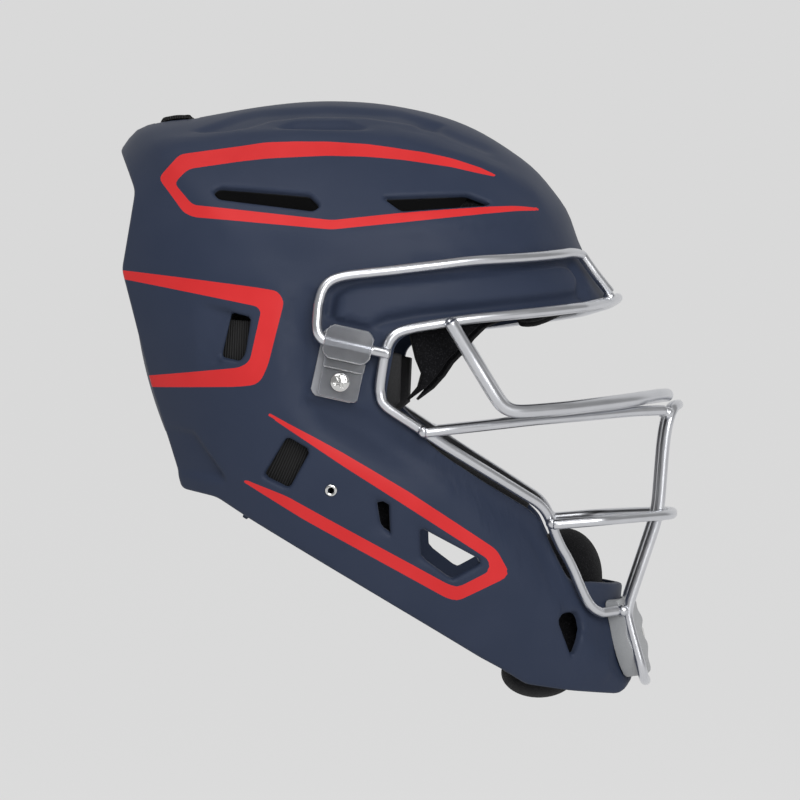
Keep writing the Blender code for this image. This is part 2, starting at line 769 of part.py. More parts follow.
def make_side_clip(side, shell, parts, cutters, materials):
    """One side's base plate, clear clip, screw and nut, with the seat and hole they need in the shell."""
    word = "left" if side > 0 else "right"
    seat, inner = seat_across(), clip_inner_across()
    outer = inner + CLIP_THICKNESS
    plate_from = seat + GAP

    def prism(name, margin, low, high, collection, material=None):
        near, far = (low, high) if side > 0 else (-high, -low)
        return side_prism(name, clip_outline(margin), near, far, collection, material)

    cut(shell, as_cutter(prism("seat_" + word, 2 * BASE_PLATE_MARGIN, seat, seat + DRILL_REACH, cutters)))
    plate_to = plate_from + BASE_PLATE_THICKNESS
    clear = materials["clear"]
    plate = prism("clip_base_" + word, BASE_PLATE_MARGIN, plate_from, plate_to, parts, clear)
    clip = prism("side_clip_" + word, 0.0, inner, outer, parts, clear)
    forward, up = screw_place()
    deep = world(side * (seat - DRILL_REACH), forward, up)
    outside = world(side * (outer + DRILL_REACH), forward, up)
    drill = cylinder_cutter("screw_hole_" + word, deep, outside, SCREW_RADIUS + GAP, cutters)
    for drilled in (shell, plate, clip):
        cut(drilled, drill)
    head_floor = inner + CLIP_HEAD_FLOOR
    floor_place = world(side * head_floor, forward, up)
    recess_radius = SCREW_HEAD_RADIUS + HEAD_ROOM
    cut(clip, cylinder_cutter("head_recess_" + word, floor_place, outside, recess_radius, cutters))
    bore_from, bore_to = clip_wire_place(-CLIP_WIDTH), clip_wire_place(CLIP_WIDTH)
    bore_from.x *= side
    bore_to.x *= side
    bore_radius = WIRE_RADIUS + GAP
    cut(clip, cylinder_cutter("wire_bore_" + word, bore_from, bore_to, bore_radius, cutters, sides=16))
    nut_top = seat + SEAT_DEPTH - WALL - NUT_CLEARANCE
    shank_end = nut_top - NUT_THICKNESS - SHANK_PAST_NUT
    outward = Vector((side, 0, 0))
    foot = world(0, forward, up)
    screw = screw_profile(head_floor + GAP, shank_end)
    turned("clip_screw_" + word, screw, foot, outward, parts, materials["steel"], sides=16)
    turned("clip_nut_" + word, nut_profile(nut_top), foot, outward, parts, materials["steel"], sides=16)


def make_eyelet(side, shell, parts, cutters, material):
    """A rolled metal eyelet through the jaw wall, on the skin's own direction there."""
    word = "left" if side > 0 else "right"
    place = skin_at_side(*EYELET_AT, side=side)
    out = skin_normal(place.x, -place.y, place.z)
    inside, outside = place - out * DRILL_REACH, place + out * DRILL_REACH
    barrel = EYELET_BARREL_RADIUS + GAP
    cut(shell, cylinder_cutter("eyelet_hole_" + word, inside, outside, barrel, cutters, sides=16))
    floor = place - out * EYELET_SEAT_DEPTH
    counterbore = EYELET_FLANGE_RADIUS + 2 * GAP
    cut(shell, cylinder_cutter("eyelet_seat_" + word, floor, outside, counterbore, cutters, sides=16))
    low, high = GAP, GAP + EYELET_FLANGE_THICKNESS
    tail = -WALL
    profile = [
        (EYELET_FLANGE_RADIUS, high * 0.8), (EYELET_FLANGE_RADIUS, low), (EYELET_BARREL_RADIUS, low),
        (EYELET_BARREL_RADIUS, tail), (EYELET_BORE_RADIUS, tail), (EYELET_BORE_RADIUS, high),
        (EYELET_FLANGE_RADIUS * 0.8, high),
    ]
    turned("eyelet_" + word, profile, floor, out, parts, material, sides=16)


def make_chin_clip(shell, parts, cutters, materials):
    """The grey clip that holds the loop to the chin, its screw and its nut."""
    half = LEG_SPACING / 2 - WIRE_RADIUS - 2 * GAP
    clip = side_prism("chin_clip", scaled_outline(CHIN_CLIP_OUTLINE), -half, half, parts, materials["grey"])
    inflated = mesh_from(skin_bmesh(2 * GAP), "chin_shape", flip_check=False)
    cut(clip, as_cutter(link("chin_shape", inflated, cutters)))
    loop = smooth_points(loop_points(), WIRE_STEP, closed=True)
    cut(clip, wire_cutter("loop_groove", loop, WIRE_RADIUS + 2 * GAP, cutters, closed=True))
    on_skin = skin_at_front(0, CHIN_CLIP_SCREW_UP)
    out = Vector((0, -math.cos(CHIN_CLIP_SCREW_TILT), math.sin(CHIN_CLIP_SCREW_TILT)))
    depth = CHIN_CLIP_THICKNESS * LENGTH / DESIGN_LENGTH
    recess_foot = on_skin + out * depth
    outside = recess_foot + out * DRILL_REACH
    drill = cylinder_cutter("chin_hole", on_skin - out * DRILL_REACH, outside, SCREW_RADIUS + GAP, cutters)
    cut(shell, drill)
    cut(clip, drill)
    cut(clip, cylinder_cutter("chin_recess", recess_foot, outside, SCREW_HEAD_RADIUS + HEAD_ROOM, cutters))
    nut_top = -WALL - CHIN_NUT_CLEARANCE
    shank_end = nut_top - NUT_THICKNESS - SHANK_PAST_NUT
    screw = screw_profile(depth + GAP, shank_end)
    turned("chin_screw", screw, on_skin, out, parts, materials["steel"], sides=16)
    turned("chin_nut", nut_profile(nut_top), on_skin, out, parts, materials["steel"], sides=16)


def patch(name, place_at, columns, rows, thickness, collection, material):
    """A flexible sheet mapped from a square grid and thickened towards the head."""
    bm = bmesh.new()
    bmesh.ops.create_grid(bm, x_segments=columns, y_segments=rows, size=0.5)
    for vert in bm.verts:
        vert.co = place_at(vert.co.x + 0.5, vert.co.y + 0.5)
    bm.normal_update()
    outward = sum(face.normal.dot(face.calc_center_median()) for face in bm.faces)
    if outward < 0:
        bmesh.ops.reverse_faces(bm, faces=bm.faces)
    mesh = mesh_from(bm, name, flip_check=False)
    item = link(name, mesh, collection, material)
    solid = item.modifiers.new("thickness", "SOLIDIFY")
    solid.thickness = thickness
    solid.offset = -1.0
    return item


def lerp(low, high, share):
    return low + (high - low) * share


def make_angle_pad(name, ranges, columns, rows, parts, material):
    """A pad under the skin between two turning angles and two sideways angles."""
    (low, high), (left, right) = ranges

    def place_at(s, t):
        angle = math.radians(lerp(low, high, t))
        lateral = math.radians(lerp(left, right, s))
        lateral = lateral if abs(lateral) > 1e-3 else 1e-3
        return skin_by_angles(angle, lateral, -PAD_INSET)

    return patch(name, place_at, columns, rows, PAD_THICKNESS, parts, material)


def make_side_pad(name, corners, columns, rows, inset, thickness, side, parts, material):
    """A pad under the side of the skin. Its corners go rear bottom, front bottom, front top, rear top."""

    def place_at(s, t):
        bottom = Vector(corners[0]).lerp(Vector(corners[1]), s)
        top = Vector(corners[3]).lerp(Vector(corners[2]), s)
        forward, up = bottom.lerp(top, t)
        return skin_at_side(forward, up, -inset, side)

    return patch(name, place_at, columns, rows, thickness, parts, material)


def make_chin_pad(parts, material):
    """A cup round the inside of the chin, open towards the head."""

    def place_at(s, t):
        across = lerp(-CHIN_PAD_HALF_WIDTH, CHIN_PAD_HALF_WIDTH, s)
        from_middle = (across / CHIN_PAD_HALF_WIDTH) ** 2
        top = CHIN_PAD_TOP - 6.0 * from_middle
        bottom = CHIN_PAD_BOTTOM - 9.0 * from_middle
        inset = CHIN_PAD_INSET + CHIN_PAD_LEAN_IN * t
        return skin_at_front(across, lerp(bottom, top, t), -inset)

    patch("chin_pad", place_at, 11, 7, CHIN_PAD_THICKNESS, parts, material)


def plate_skin(x, up):
    """A place on the back plate's rear face, from its sideways place in metres and its design height."""
    drop = PLATE_CURVE - math.sqrt(PLATE_CURVE ** 2 - x ** 2)
    bow = PLATE_BOW * (up - PLATE_REARMOST_UP) ** 2
    return world(x, forward_m(PLATE_REAR + bow) + drop, up_m(up))


def plate_place(s, t, inset):
    """A place on the back plate: s across, t from bottom to top, moved towards the head by the inset."""
    edge = 2 * t - 1
    half = PLATE_HALF_WIDTH * (1 - 0.4 * edge ** 6)
    x = lerp(-half, half, s)
    up = lerp(PLATE_BOTTOM, PLATE_TOP, t)
    place = plate_skin(x, up)
    across_step = plate_skin(x + 0.1 * MM, up) - place
    up_step = plate_skin(x, up + 0.1) - place
    inward = across_step.cross(up_step).normalized()
    return place + inward * inset


def make_back_plate(parts, materials):
    slide = bpy.data.objects.new("back_plate_slide", None)
    slide.location = world(0, forward_m(PLATE_REAR), up_m((PLATE_TOP + PLATE_BOTTOM) / 2))
    parts.objects.link(slide)
    plate = patch(
        "back_plate", lambda s, t: plate_place(s, t, 0.0), 12, 12, PLATE_THICKNESS, parts,
        materials["shell"])
    pad_inset = PLATE_THICKNESS + 3 * GAP

    def pad_place(s, t):
        return plate_place(lerp(0.06, 0.94, s), lerp(0.07, 0.93, t), pad_inset)

    pad = patch("back_plate_pad", pad_place, 10, 10, PLATE_PAD_THICKNESS, parts, materials["fabric"])
    bpy.context.view_layer.update()
    for item in (plate, pad):
        item.parent = slide
        item.matrix_parent_inverse = slide.matrix_world.inverted()


def ribbon(name, centre_line, width_directions, width, thickness, collection, material):
    """A flat strap along a line. Each point has its own direction across the strap."""
    bm = bmesh.new()
    rows = []
    for place, direction in zip(centre_line, width_directions):
        half = direction.normalized() * width / 2
        rows.append((bm.verts.new(place - half), bm.verts.new(place + half)))
    for (a, b), (c, d) in zip(rows, rows[1:]):
        bm.faces.new((a, c, d, b))
    item = link(name, mesh_from(bm, name, flip_check=False), collection, material)
    solid = item.modifiers.new("thickness", "SOLIDIFY")
    solid.thickness = thickness
    solid.offset = 0.0
    return item


def make_side_strap(name, shell_run, plate_up, side, parts, material):
    """An elastic strap from under the shell's side back to the edge of the back plate."""
    under = WALL + SIDE_STRAP_CLEARANCE + STRAP_THICKNESS / 2
    points = [skin_at_side(forward, up, -under, side) for forward, up in shell_run]
    share = (plate_up - PLATE_BOTTOM) / (PLATE_TOP - PLATE_BOTTOM)
    plate_edge = plate_place(0.5 + side * 0.5, share, PLATE_THICKNESS / 2)
    points.append(plate_edge + Vector((side * STRAP_END_GAP, 0, 0)))
    line = smooth_points(points, 9 * MM)
    directions = []
    for k, place in enumerate(line):
        ahead = line[min(k + 1, len(line) - 1)] - line[max(k - 1, 0)]
        directions.append(ahead.cross(skin_normal(place.x, -place.y, place.z)))
    return ribbon(name, line, directions, SIDE_STRAP_WIDTH, STRAP_THICKNESS, parts, material)


def make_crown_strap(parts, material):
    """The top strap: up through the rear crown slot, over the bar, down the front slot to its sewn end."""
    over = STRAP_THICKNESS / 2 + 2 * GAP
    under = -WALL - STRAP_THICKNESS / 2 - 3 * GAP
    rear = (CROWN_SLOTS[0][0] + CROWN_SLOTS[0][1]) / 2
    front = (CROWN_SLOTS[1][0] + CROWN_SLOTS[1][1]) / 2
    plate_top = plate_place(0.5, 1.0, PLATE_THICKNESS / 2)
    points = [
        plate_top + Vector((0, 0, 4 * GAP)),
        crown_place(rear, under - 3 * MM),
        crown_place(rear, 0),
        crown_place(rear + 1.2, over),
        crown_place(rear + 4.0, over + GAP),
        crown_place((rear + front) / 2, over + 2 * GAP),
        crown_place(front - 4.0, over + GAP),
        crown_place(front - 1.2, over),
        crown_place(front, 0),
        crown_place(front, -WALL - 2 * GAP),
        crown_place(front + 2.5, under - 1.0 * MM),
        crown_place(front + 9.0, under - 1.0 * MM),
    ]
    directions = [Vector((1, 0, 0))] * len(points)
    return ribbon("crown_strap", points, directions, CROWN_STRAP_WIDTH, STRAP_THICKNESS, parts, material)


def make_pads(parts, materials):
    fabric, foam = materials["fabric"], materials["foam"]
    make_angle_pad("crown_pad", CROWN_PAD_PATCH, 10, 9, parts, fabric)
    make_angle_pad("front_pad", FRONT_PAD_PATCH, 13, 6, parts, fabric)
    for side, word in ((1, "left"), (-1, "right")):
        make_side_pad("ear_pad_" + word, EAR_PAD, 7, 8, SIDE_PAD_INSET, PAD_THICKNESS, side, parts, fabric)
        make_side_pad("jaw_pad_" + word, JAW_PAD, 6, 4, SIDE_PAD_INSET, PAD_THICKNESS, side, parts, fabric)
        make_side_pad(
            "cheek_edge_pad_" + word, CHEEK_EDGE_PAD, 6, 2, PAD_INSET, EDGE_FOAM_THICKNESS, side, parts, foam)
        make_side_pad(
            "temple_pad_" + word, TEMPLE_PAD, 3, 4, PAD_INSET, TEMPLE_PAD_THICKNESS, side, parts, fabric)
    make_chin_pad(parts, fabric)


def make_straps(parts, material):
    for side, word in ((1, "left"), (-1, "right")):
        make_side_strap("upper_strap_" + word, UPPER_STRAP_RUN, UPPER_STRAP_PLATE_UP, side, parts, material)
        make_side_strap("lower_strap_" + word, LOWER_STRAP_RUN, LOWER_STRAP_PLATE_UP, side, parts, material)
    make_crown_strap(parts, material)


def side_sweep(across):
    """The move of a place for its distance from the middle plane: none at the middle, full at the sides."""
    t = min(abs(across) / (SIDE_SWEEP_FULL_SHARE * HALF_WIDTH), 1.0)
    share = t * t * (3 - 2 * t)
    return Vector((0, -SIDE_SWEEP_FORWARD * share, -SIDE_SWEEP_DOWN * share))


def sweep_the_sides(parts):
    """Moves the sides of every finished piece forward, once all the cutting is done."""
    bpy.context.view_layer.update()
    depsgraph = bpy.context.evaluated_depsgraph_get()
    finished = {}
    for item in parts.objects:
        if item.type != "EMPTY":
            finished[item] = bpy.data.meshes.new_from_object(item.evaluated_get(depsgraph))
    for item, mesh in finished.items():
        to_world = item.matrix_world.copy()
        to_own = to_world.inverted()
        for vert in mesh.vertices:
            place = to_world @ vert.co
            vert.co = to_own @ (place + side_sweep(place.x))
        if item.type == "MESH":
            item.modifiers.clear()
            item.data = mesh
        else:
            name = item.name
            bpy.data.objects.remove(item)
            link(name, mesh, parts)


def build():
    clear_scene()
    parts = new_collection("catchers_helmet")
    cutters = new_collection("cutters")
    materials = {
        "shell": make_material("dark_blue_shell", DARK_BLUE, 0.5),
        "fabric": make_material("black_fabric", BLACK_FABRIC, 0.95),
        "foam": make_material("black_foam", BLACK_FOAM, 0.8),
        "elastic": make_material("black_elastic", BLACK_FABRIC, 0.85),
        "wire": make_material("satin_silver", SILVER, 0.3, 1.0),
        "steel": make_material("bright_steel", STEEL, 0.15, 1.0),
        "clear": make_material("clear_plastic", CLEAR_GREY, 0.15),
        "grey": make_material("light_grey_plastic", LIGHT_GREY, 0.4),
    }
    shell = make_shell(parts, cutters, materials["shell"])
    make_frame_wire(parts, materials["wire"])
    make_upper_wires(parts, materials["wire"])
    make_eye_bar(parts, materials["wire"])
    make_mid_bars(parts, materials["wire"])
    make_lower_bar(parts, materials["wire"])
    make_centre_loop(parts, materials["wire"])
    for side in (1, -1):
        make_side_clip(side, shell, parts, cutters, materials)
        make_eyelet(side, shell, parts, cutters, materials["steel"])
    make_chin_clip(shell, parts, cutters, materials)
    make_pads(parts, materials)
    make_back_plate(parts, materials)
    make_straps(parts, materials["elastic"])
    sweep_the_sides(parts)


build()
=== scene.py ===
# %% [markdown]
# # A catcher's helmet with a wire face cage
# This lesson dresses a bare engineering model as the finished helmet: a moulded two-tone shell, a welded
# and plated wire cage, clear clips, soft padding and elastic straps. The model gives every place and size,
# so each piece below is made where the model's own piece is, and only its looks are new.

import math

import bmesh
import bpy
import numpy as np
from mathutils import Matrix, Vector

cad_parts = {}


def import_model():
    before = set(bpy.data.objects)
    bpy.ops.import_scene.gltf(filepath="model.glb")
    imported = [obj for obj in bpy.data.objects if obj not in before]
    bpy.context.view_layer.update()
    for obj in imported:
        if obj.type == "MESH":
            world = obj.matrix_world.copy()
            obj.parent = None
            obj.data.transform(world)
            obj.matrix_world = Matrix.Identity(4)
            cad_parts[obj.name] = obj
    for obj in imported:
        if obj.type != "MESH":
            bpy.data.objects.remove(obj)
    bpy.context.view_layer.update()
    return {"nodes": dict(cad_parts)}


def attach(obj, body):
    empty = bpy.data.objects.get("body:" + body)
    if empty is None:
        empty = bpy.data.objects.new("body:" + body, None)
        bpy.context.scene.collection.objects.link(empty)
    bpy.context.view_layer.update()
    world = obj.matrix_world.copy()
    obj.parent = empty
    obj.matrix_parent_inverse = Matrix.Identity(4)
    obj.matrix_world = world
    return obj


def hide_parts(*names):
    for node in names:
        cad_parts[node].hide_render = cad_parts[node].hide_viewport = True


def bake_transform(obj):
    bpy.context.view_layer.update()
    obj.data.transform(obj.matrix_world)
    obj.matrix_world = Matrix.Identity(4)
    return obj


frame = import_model()
MM = 0.001
print("the model has", len(frame["nodes"]), "nodes")

# %% [markdown]
# ## Skin of the helmet
# Everything on this helmet follows one smooth egg-like skin, so the skin comes first, as a formula. A side
# outline gives how far it reaches in each direction from the middle of the head. Its width falls from
# 112 mm at the middle to nothing at that outline, and the jaw is pinched in. Numpy works on all points of a
# mesh at once, which a dense shell needs.

# %% Side outline of the skin, as a table of reach against angle
SKIN_OUTLINE = [
    (-105, 104), (-95, 115), (-64, 120.5), (-32, 126), (5, 129), (42, 126), (80, 115), (99, 104),
    (113.5, 93), (123.5, 81.5), (131.5, 70), (139, 50), (153, 26), (163, -20), (166, -80), (159, -138),
    (165.5, -179), (168, -190), (150, -215), (110, -225), (60, -215), (0, -190), (-60, -140),
    (-91, -91), (-100, -58), (-112, -26), (-121, 0), (-126, 46), (-120, 78),
]


def reach_table(outline):
    """Angles and reaches at every half degree of the smooth curve through the outline's points."""
    knots = sorted((math.atan2(up, forward), math.hypot(forward, up)) for forward, up in outline)
    count = len(knots)

    def knot(i):
        turn, index = divmod(i, count)
        return knots[index][0] + turn * 2 * math.pi, knots[index][1]

    angles = np.radians(np.arange(-180.0, 180.0, 0.5))
    reaches = []
    for angle in angles:
        k = sum(1 for pair in knots if pair[0] <= angle)
        (xa, ya), (xb, yb), (xc, yc), (xd, yd) = knot(k - 2), knot(k - 1), knot(k), knot(k + 1)
        span = xc - xb
        t = (angle - xb) / span
        slope_b, slope_c = (yc - ya) / (xc - xa), (yd - yb) / (xd - xb)
        reaches.append(
            yb * (2 * t**3 - 3 * t**2 + 1) + slope_b * span * (t**3 - 2 * t**2 + t)
            + yc * (3 * t**2 - 2 * t**3) + slope_c * span * (t**3 - t**2)
        )
    return angles, np.array(reaches)


TABLE_ANGLES, TABLE_REACHES = reach_table(SKIN_OUTLINE)
print("the skin reaches from %.0f to %.0f mm" % (TABLE_REACHES.min(), TABLE_REACHES.max()))

# %% Places, widths and outward directions on the skin, in millimetres forward and up
HALF_WIDTH = 112.0
JAW_ANGLE = math.radians(-47.0)
JAW_SPREAD = math.radians(40.0)


def reach(angle):
    return np.interp(angle, TABLE_ANGLES, TABLE_REACHES, period=2 * math.pi)


def skin_shape(forward, up):
    """The share of the reach, the power and the width that the skin has in a direction."""
    angle = np.arctan2(up, forward)
    turn = np.abs((angle - JAW_ANGLE + math.pi) % (2 * math.pi) - math.pi)
    jaw = np.exp(-((turn / JAW_SPREAD) ** 2))
    share = np.hypot(forward, up) / reach(angle)
    width = HALF_WIDTH * (1 - 0.25 * jaw * np.minimum(share, 1.0) ** 2)
    return share, 2.3 - 0.9 * jaw, width


def skin_level(across, forward, up):
    share, power, width = skin_shape(forward, up)
    return (np.abs(across) / width) ** 2.1 + share**power - 1


def skin_width(forward, up):
    share, power, width = skin_shape(forward, up)
    return width * np.maximum(1 - np.minimum(share, 1.0) ** power, 0.0) ** (1 / 2.1)


def skin_outward(across, forward, up):
    """Unit vectors straight out of the skin, in world axes."""
    step = 0.2
    slope = np.stack([
        skin_level(across + step, forward, up) - skin_level(across - step, forward, up),
        -(skin_level(across, forward + step, up) - skin_level(across, forward - step, up)),
        skin_level(across, forward, up + step) - skin_level(across, forward, up - step),
    ], axis=-1)
    return slope / np.maximum(np.linalg.norm(slope, axis=-1, keepdims=True), 1e-9)


def world(across, forward, up):
    return Vector((float(across) * MM, -float(forward) * MM, float(up) * MM))


def on_side(forward, up, height=0.0, side=-1):
    """A place at a height over the side of the skin."""
    across = side * skin_width(forward, up)
    return world(across, forward, up) + Vector(skin_outward(across, forward, up)) * height * MM


def on_front(across, up, height=0.0):
    """A place at a height over the front of the skin."""
    near, far = 0.0, 300.0
    for _ in range(40):
        middle = (near + far) / 2
        near, far = (middle, far) if skin_level(across, middle, up) < 0 else (near, middle)
    return world(across, near, up) + Vector(skin_outward(across, near, up)) * height * MM


print("half-width at the clips: %.1f mm" % skin_width(10.0, -10.0))

# %% [markdown]
# ## Outlines drawn on the side of the shell
# A moulded shell is designed in side view, so its openings, stripes and creases are drawn as outlines of
# forward and up. A signed distance tells each point of the shell how far it is from an outline, less than
# 0 inside it. One number then drives cutting, rounding, sinking and painting.

# %% Rounded outlines and distances to them
def rounded(points, radius, steps=4):
    """The outline with each corner turned into a short curve."""
    points = [Vector(p) for p in points]
    found = []
    for k, here in enumerate(points):
        before, after = points[k - 1] - here, points[(k + 1) % len(points)] - here
        cut = min(radius, before.length * 0.45, after.length * 0.45)
        first, last = here + before.normalized() * cut, here + after.normalized() * cut
        for i in range(steps + 1):
            t = i / steps
            found.append(first * (1 - t) ** 2 + here * 2 * t * (1 - t) + last * t * t)
    return [tuple(p) for p in found]


def line_distance(points, forward, up):
    """Distance to an open line, and how far along it the nearest place is, from 0 to 1."""
    ends = np.array(points, float)
    lengths = np.linalg.norm(np.diff(ends, axis=0), axis=1)
    starts = np.concatenate([[0.0], np.cumsum(lengths)])
    best, along = np.full(forward.shape, 1e9), np.zeros(forward.shape)
    for a, b, length, start in zip(ends[:-1], ends[1:], lengths, starts):
        if length < 1e-9:
            continue
        t = np.clip(((forward - a[0]) * (b[0] - a[0]) + (up - a[1]) * (b[1] - a[1])) / length**2, 0, 1)
        d = np.hypot(forward - a[0] - t * (b[0] - a[0]), up - a[1] - t * (b[1] - a[1]))
        nearer = d < best
        best = np.where(nearer, d, best)
        along = np.where(nearer, (start + t * length) / starts[-1], along)
    return best, along


def outline_distance(outline, forward, up):
    """Signed distance to a closed outline, less than 0 inside."""
    closed = list(outline) + [outline[0]]
    distance, _ = line_distance(closed, forward, up)
    inside = np.zeros(forward.shape, bool)
    for (fa, ua), (fb, ub) in zip(closed[:-1], closed[1:]):
        crosses = (ua > up) != (ub > up)
        slope = (fb - fa) / (ub - ua) if ub != ua else 0.0
        inside ^= crosses & (forward < fa + (up - ua) * slope)
    return np.where(inside, -distance, distance)


def ease(t):
    t = np.clip(t, 0.0, 1.0)
    return t * t * (3 - 2 * t)


# %% Openings of the shell
FACE_OPENING = rounded([
    (220, 24), (153, 22), (121, 18), (71, 11), (40.5, 5), (35, 0), (30, -28), (58, -55), (77, -67.5),
    (105, -84), (111.5, -90), (115, -97), (128, -122), (145, -124), (160, -126), (220, -126),
], 5.0)
NECK_OPENING = rounded([
    (220, -166), (166, -176), (157, -183), (129, -180), (105, -176), (92, -168), (80, -161.5), (-40, -89),
    (-57, -78), (-75, -74), (-82, -49), (-91, -20), (-106, 39), (-99, 80), (-106, 104), (-107, 150),
    (-220, 150), (-220, -320), (220, -320),
], 3.0)
VENTS = {
    "rear_vent": rounded([(-58.7, 79), (-55.5, 81.5), (-9, 77), (-3.5, 71), (-7, 68.5), (-55.5, 75)], 2.0),
    "front_vent": rounded([(28.5, 75.5), (72.5, 77.5), (84.5, 73), (81, 72), (38, 68.5)], 1.6),
    "side_window": rounded([(-49, 16.8), (-38.3, 14), (-41.5, -5), (-44.5, -8.6), (-54.8, -6.5)], 2.0),
    "strap_slot": rounded([(-20, -46.5), (-8, -53.5), (-19.5, -73.5), (-33, -67)], 2.6),
    "jaw_slit": rounded([(25.5, -79), (31.7, -80.5), (32.3, -97.5), (27.5, -92)], 1.2),
    "jaw_vent": rounded([(47.7, -93.2), (78.7, -109.8), (79, -112.2), (64.4, -120.4), (48.2, -108.7)], 1.8),
    "chin_window": rounded([(121.5, -142.5), (125, -138), (132.5, -138.3), (136, -145.5), (134, -150.5), (129.8, -162.5)], 2.0),
    "eyelet_hole": rounded([(4.7, -73.6), (2.3, -71.2), (-0.1, -73.6), (2.3, -76.0)], 1.6),
}
CROWN_SLOTS = [(-86.0, -81.5), (-69.5, -65.0)]


def vent_distance(across, forward, up):
    distance = np.full(forward.shape, 1e9)
    for outline in VENTS.values():
        distance = np.minimum(distance, outline_distance(outline, forward, up))
    for rear, front in CROWN_SLOTS:
        over_f = np.abs(forward - (rear + front) / 2) - (front - rear) / 2
        over_x = np.abs(across) - 14.0
        outside = np.hypot(np.maximum(over_f, 0), np.maximum(over_x, 0)) + np.minimum(np.maximum(over_f, over_x), 0)
        distance = np.where(up > 60, np.minimum(distance, outside), distance)
    return distance


def rim_distance(across, forward, up):
    """Signed distance to every edge of the shell, less than 0 where the shell is open."""
    face = outline_distance(FACE_OPENING, forward, up)
    neck = outline_distance(NECK_OPENING, forward, up)
    return np.minimum(np.minimum(face, neck), vent_distance(across, forward, up))


print(len(VENTS), "side openings on each side, and", len(CROWN_SLOTS), "slots in the crown")

# %% Red stripes, as closed outlines on the side
STRIPE_A = [
    (88.8, 86), (79, 90.5), (64, 95.2), (49.4, 98.6), (35, 101), (21.1, 102.7), (0.3, 104), (-15, 104.2),
    (-31.3, 103.8), (-75.5, 98), (-86.1, 86.1), (-73.3, 68), (-68, 65.5), (2.5, 58.7), (37.9, 62.4),
    (80, 67.3), (98, 69.2), (110.6, 69.7), (110.6, 70.7), (98, 71.4), (80, 70.6), (40, 67.2), (2.6, 63.1), (-69, 71.5),
    (-78.6, 83.2), (-71.3, 90.7), (-45, 94.5), (-31, 96), (-0.2, 97.3), (20, 96.8), (38.9, 95.2), (64, 91.6),
    (80, 88),
]
STRIPE_B = [
    (-125, 41), (-106.4, 38.7), (-34.9, 28.8), (-24.5, 27), (-21.3, 22), (-29.4, -10.2), (-34, -19.8),
    (-45, -21), (-91.3, -21.2), (-110, -21), (-110, -17.5), (-92, -15.7), (-44, -11.7), (-38.5, -8.5),
    (-32.6, 16.9), (-35, 19.7), (-105.8, 34.6), (-125, 38),
]
STRIPE_C = [
    (-28.7, -34.7), (7.9, -54.7), (42.2, -75.1), (86.5, -104.5), (93, -115.9), (91.5, -119), (67, -130.6),
    (61.5, -129.2), (-11.7, -88.4), (-42.2, -69.5), (-41.8, -68.5), (-20.6, -76.8), (-0.8, -87.8), (62, -122.4),
    (67, -123.9), (83.5, -115.6), (82.9, -109.4), (41.2, -82.2), (7.9, -60.7), (-29.2, -35.6),
]
STRIPES = [rounded(STRIPE_A, 3.0), rounded(STRIPE_B, 5.0), rounded(STRIPE_C, 3.0)]


def stripe_distance(forward, up):
    distance = np.full(forward.shape, 1e9)
    for outline in STRIPES:
        distance = np.minimum(distance, outline_distance(outline, forward, up))
    return distance


print("three stripes a side")

# %% [markdown]
# ## Relief of the shell
# The real shell is creased, stepped and scooped, which stiffens it and leads air to the vents. Each
# feature here is one line or one outline with a depth, and all of them are added into one height for each
# point of the skin. That is easier to tune than pulling points by hand.

# %% Creases, steps and scoops
CREASES = [
    # points, half-width, height, share of the length that fades at each end
    ([(-75, 51), (-36, 46.5), (-18, 43), (2, 41.5), (20, 44), (38, 47), (58, 49.6), (89, 55), (121, 60), (146, 66)],
     6.5, -2.6, 0.28),
    ([(2, 6), (1.8, 13.6), (4.3, 26.5), (9.6, 30.6), (17.5, 32.6), (78.8, 38.2), (122.4, 43.4), (128.6, 42),
      (133.6, 35), (132.6, 27.2), (136.5, 22.5)], 1.7, -2.2, 0.02),
    ([(24.5, 4), (25.8, 9.3), (29.7, 11.6), (47.6, 15), (78.6, 18.6), (99.6, 21.2), (134, 25.4)], 1.9, -2.2, 0.06),
    ([(-4, 38), (-11, 30), (-14.7, 12.6), (-13.6, -7.6), (-11.7, -25.3), (-3, -40.5), (17.3, -52.5),
      (42, -66), (60, -76)], 6.5, -2.4, 0.2),
    ([(26, -33), (37.2, -50), (58.2, -63), (79.1, -75.6), (102.2, -90), (107, -96), (112.5, -106), (119, -120),
      (124, -131)], 4.6, -2.4, 0.16),
    ([(22, 0), (20.5, -13), (20.5, -25.6), (26, -34), (40.5, -45.5), (64.5, -60.5), (88, -73)], 2.4, 1.2, 0.16),
    ([(-104, 101.7), (-64.4, 105.3), (-44.2, 108.1), (-8.6, 109), (39.5, 106.6), (78.8, 93.8), (109.7, 79.8),
      (122.9, 63.8)], 4.0, 1.3, 0.12),
    ([(46, 115), (61, 111.7), (71.3, 106.9), (91.5, 99.4)], 1.2, -0.9, 0.15),
    ([(60, -146), (90, -134), (110, -125.5)], 4.0, -1.3, 0.4),
    ([(128, -131), (122.5, -143), (129.2, -160), (134.5, -173)], 1.6, -0.8, 0.2),
    ([(150.5, -130), (151.5, -154), (150, -175.6)], 1.8, 0.7, 0.3),
]
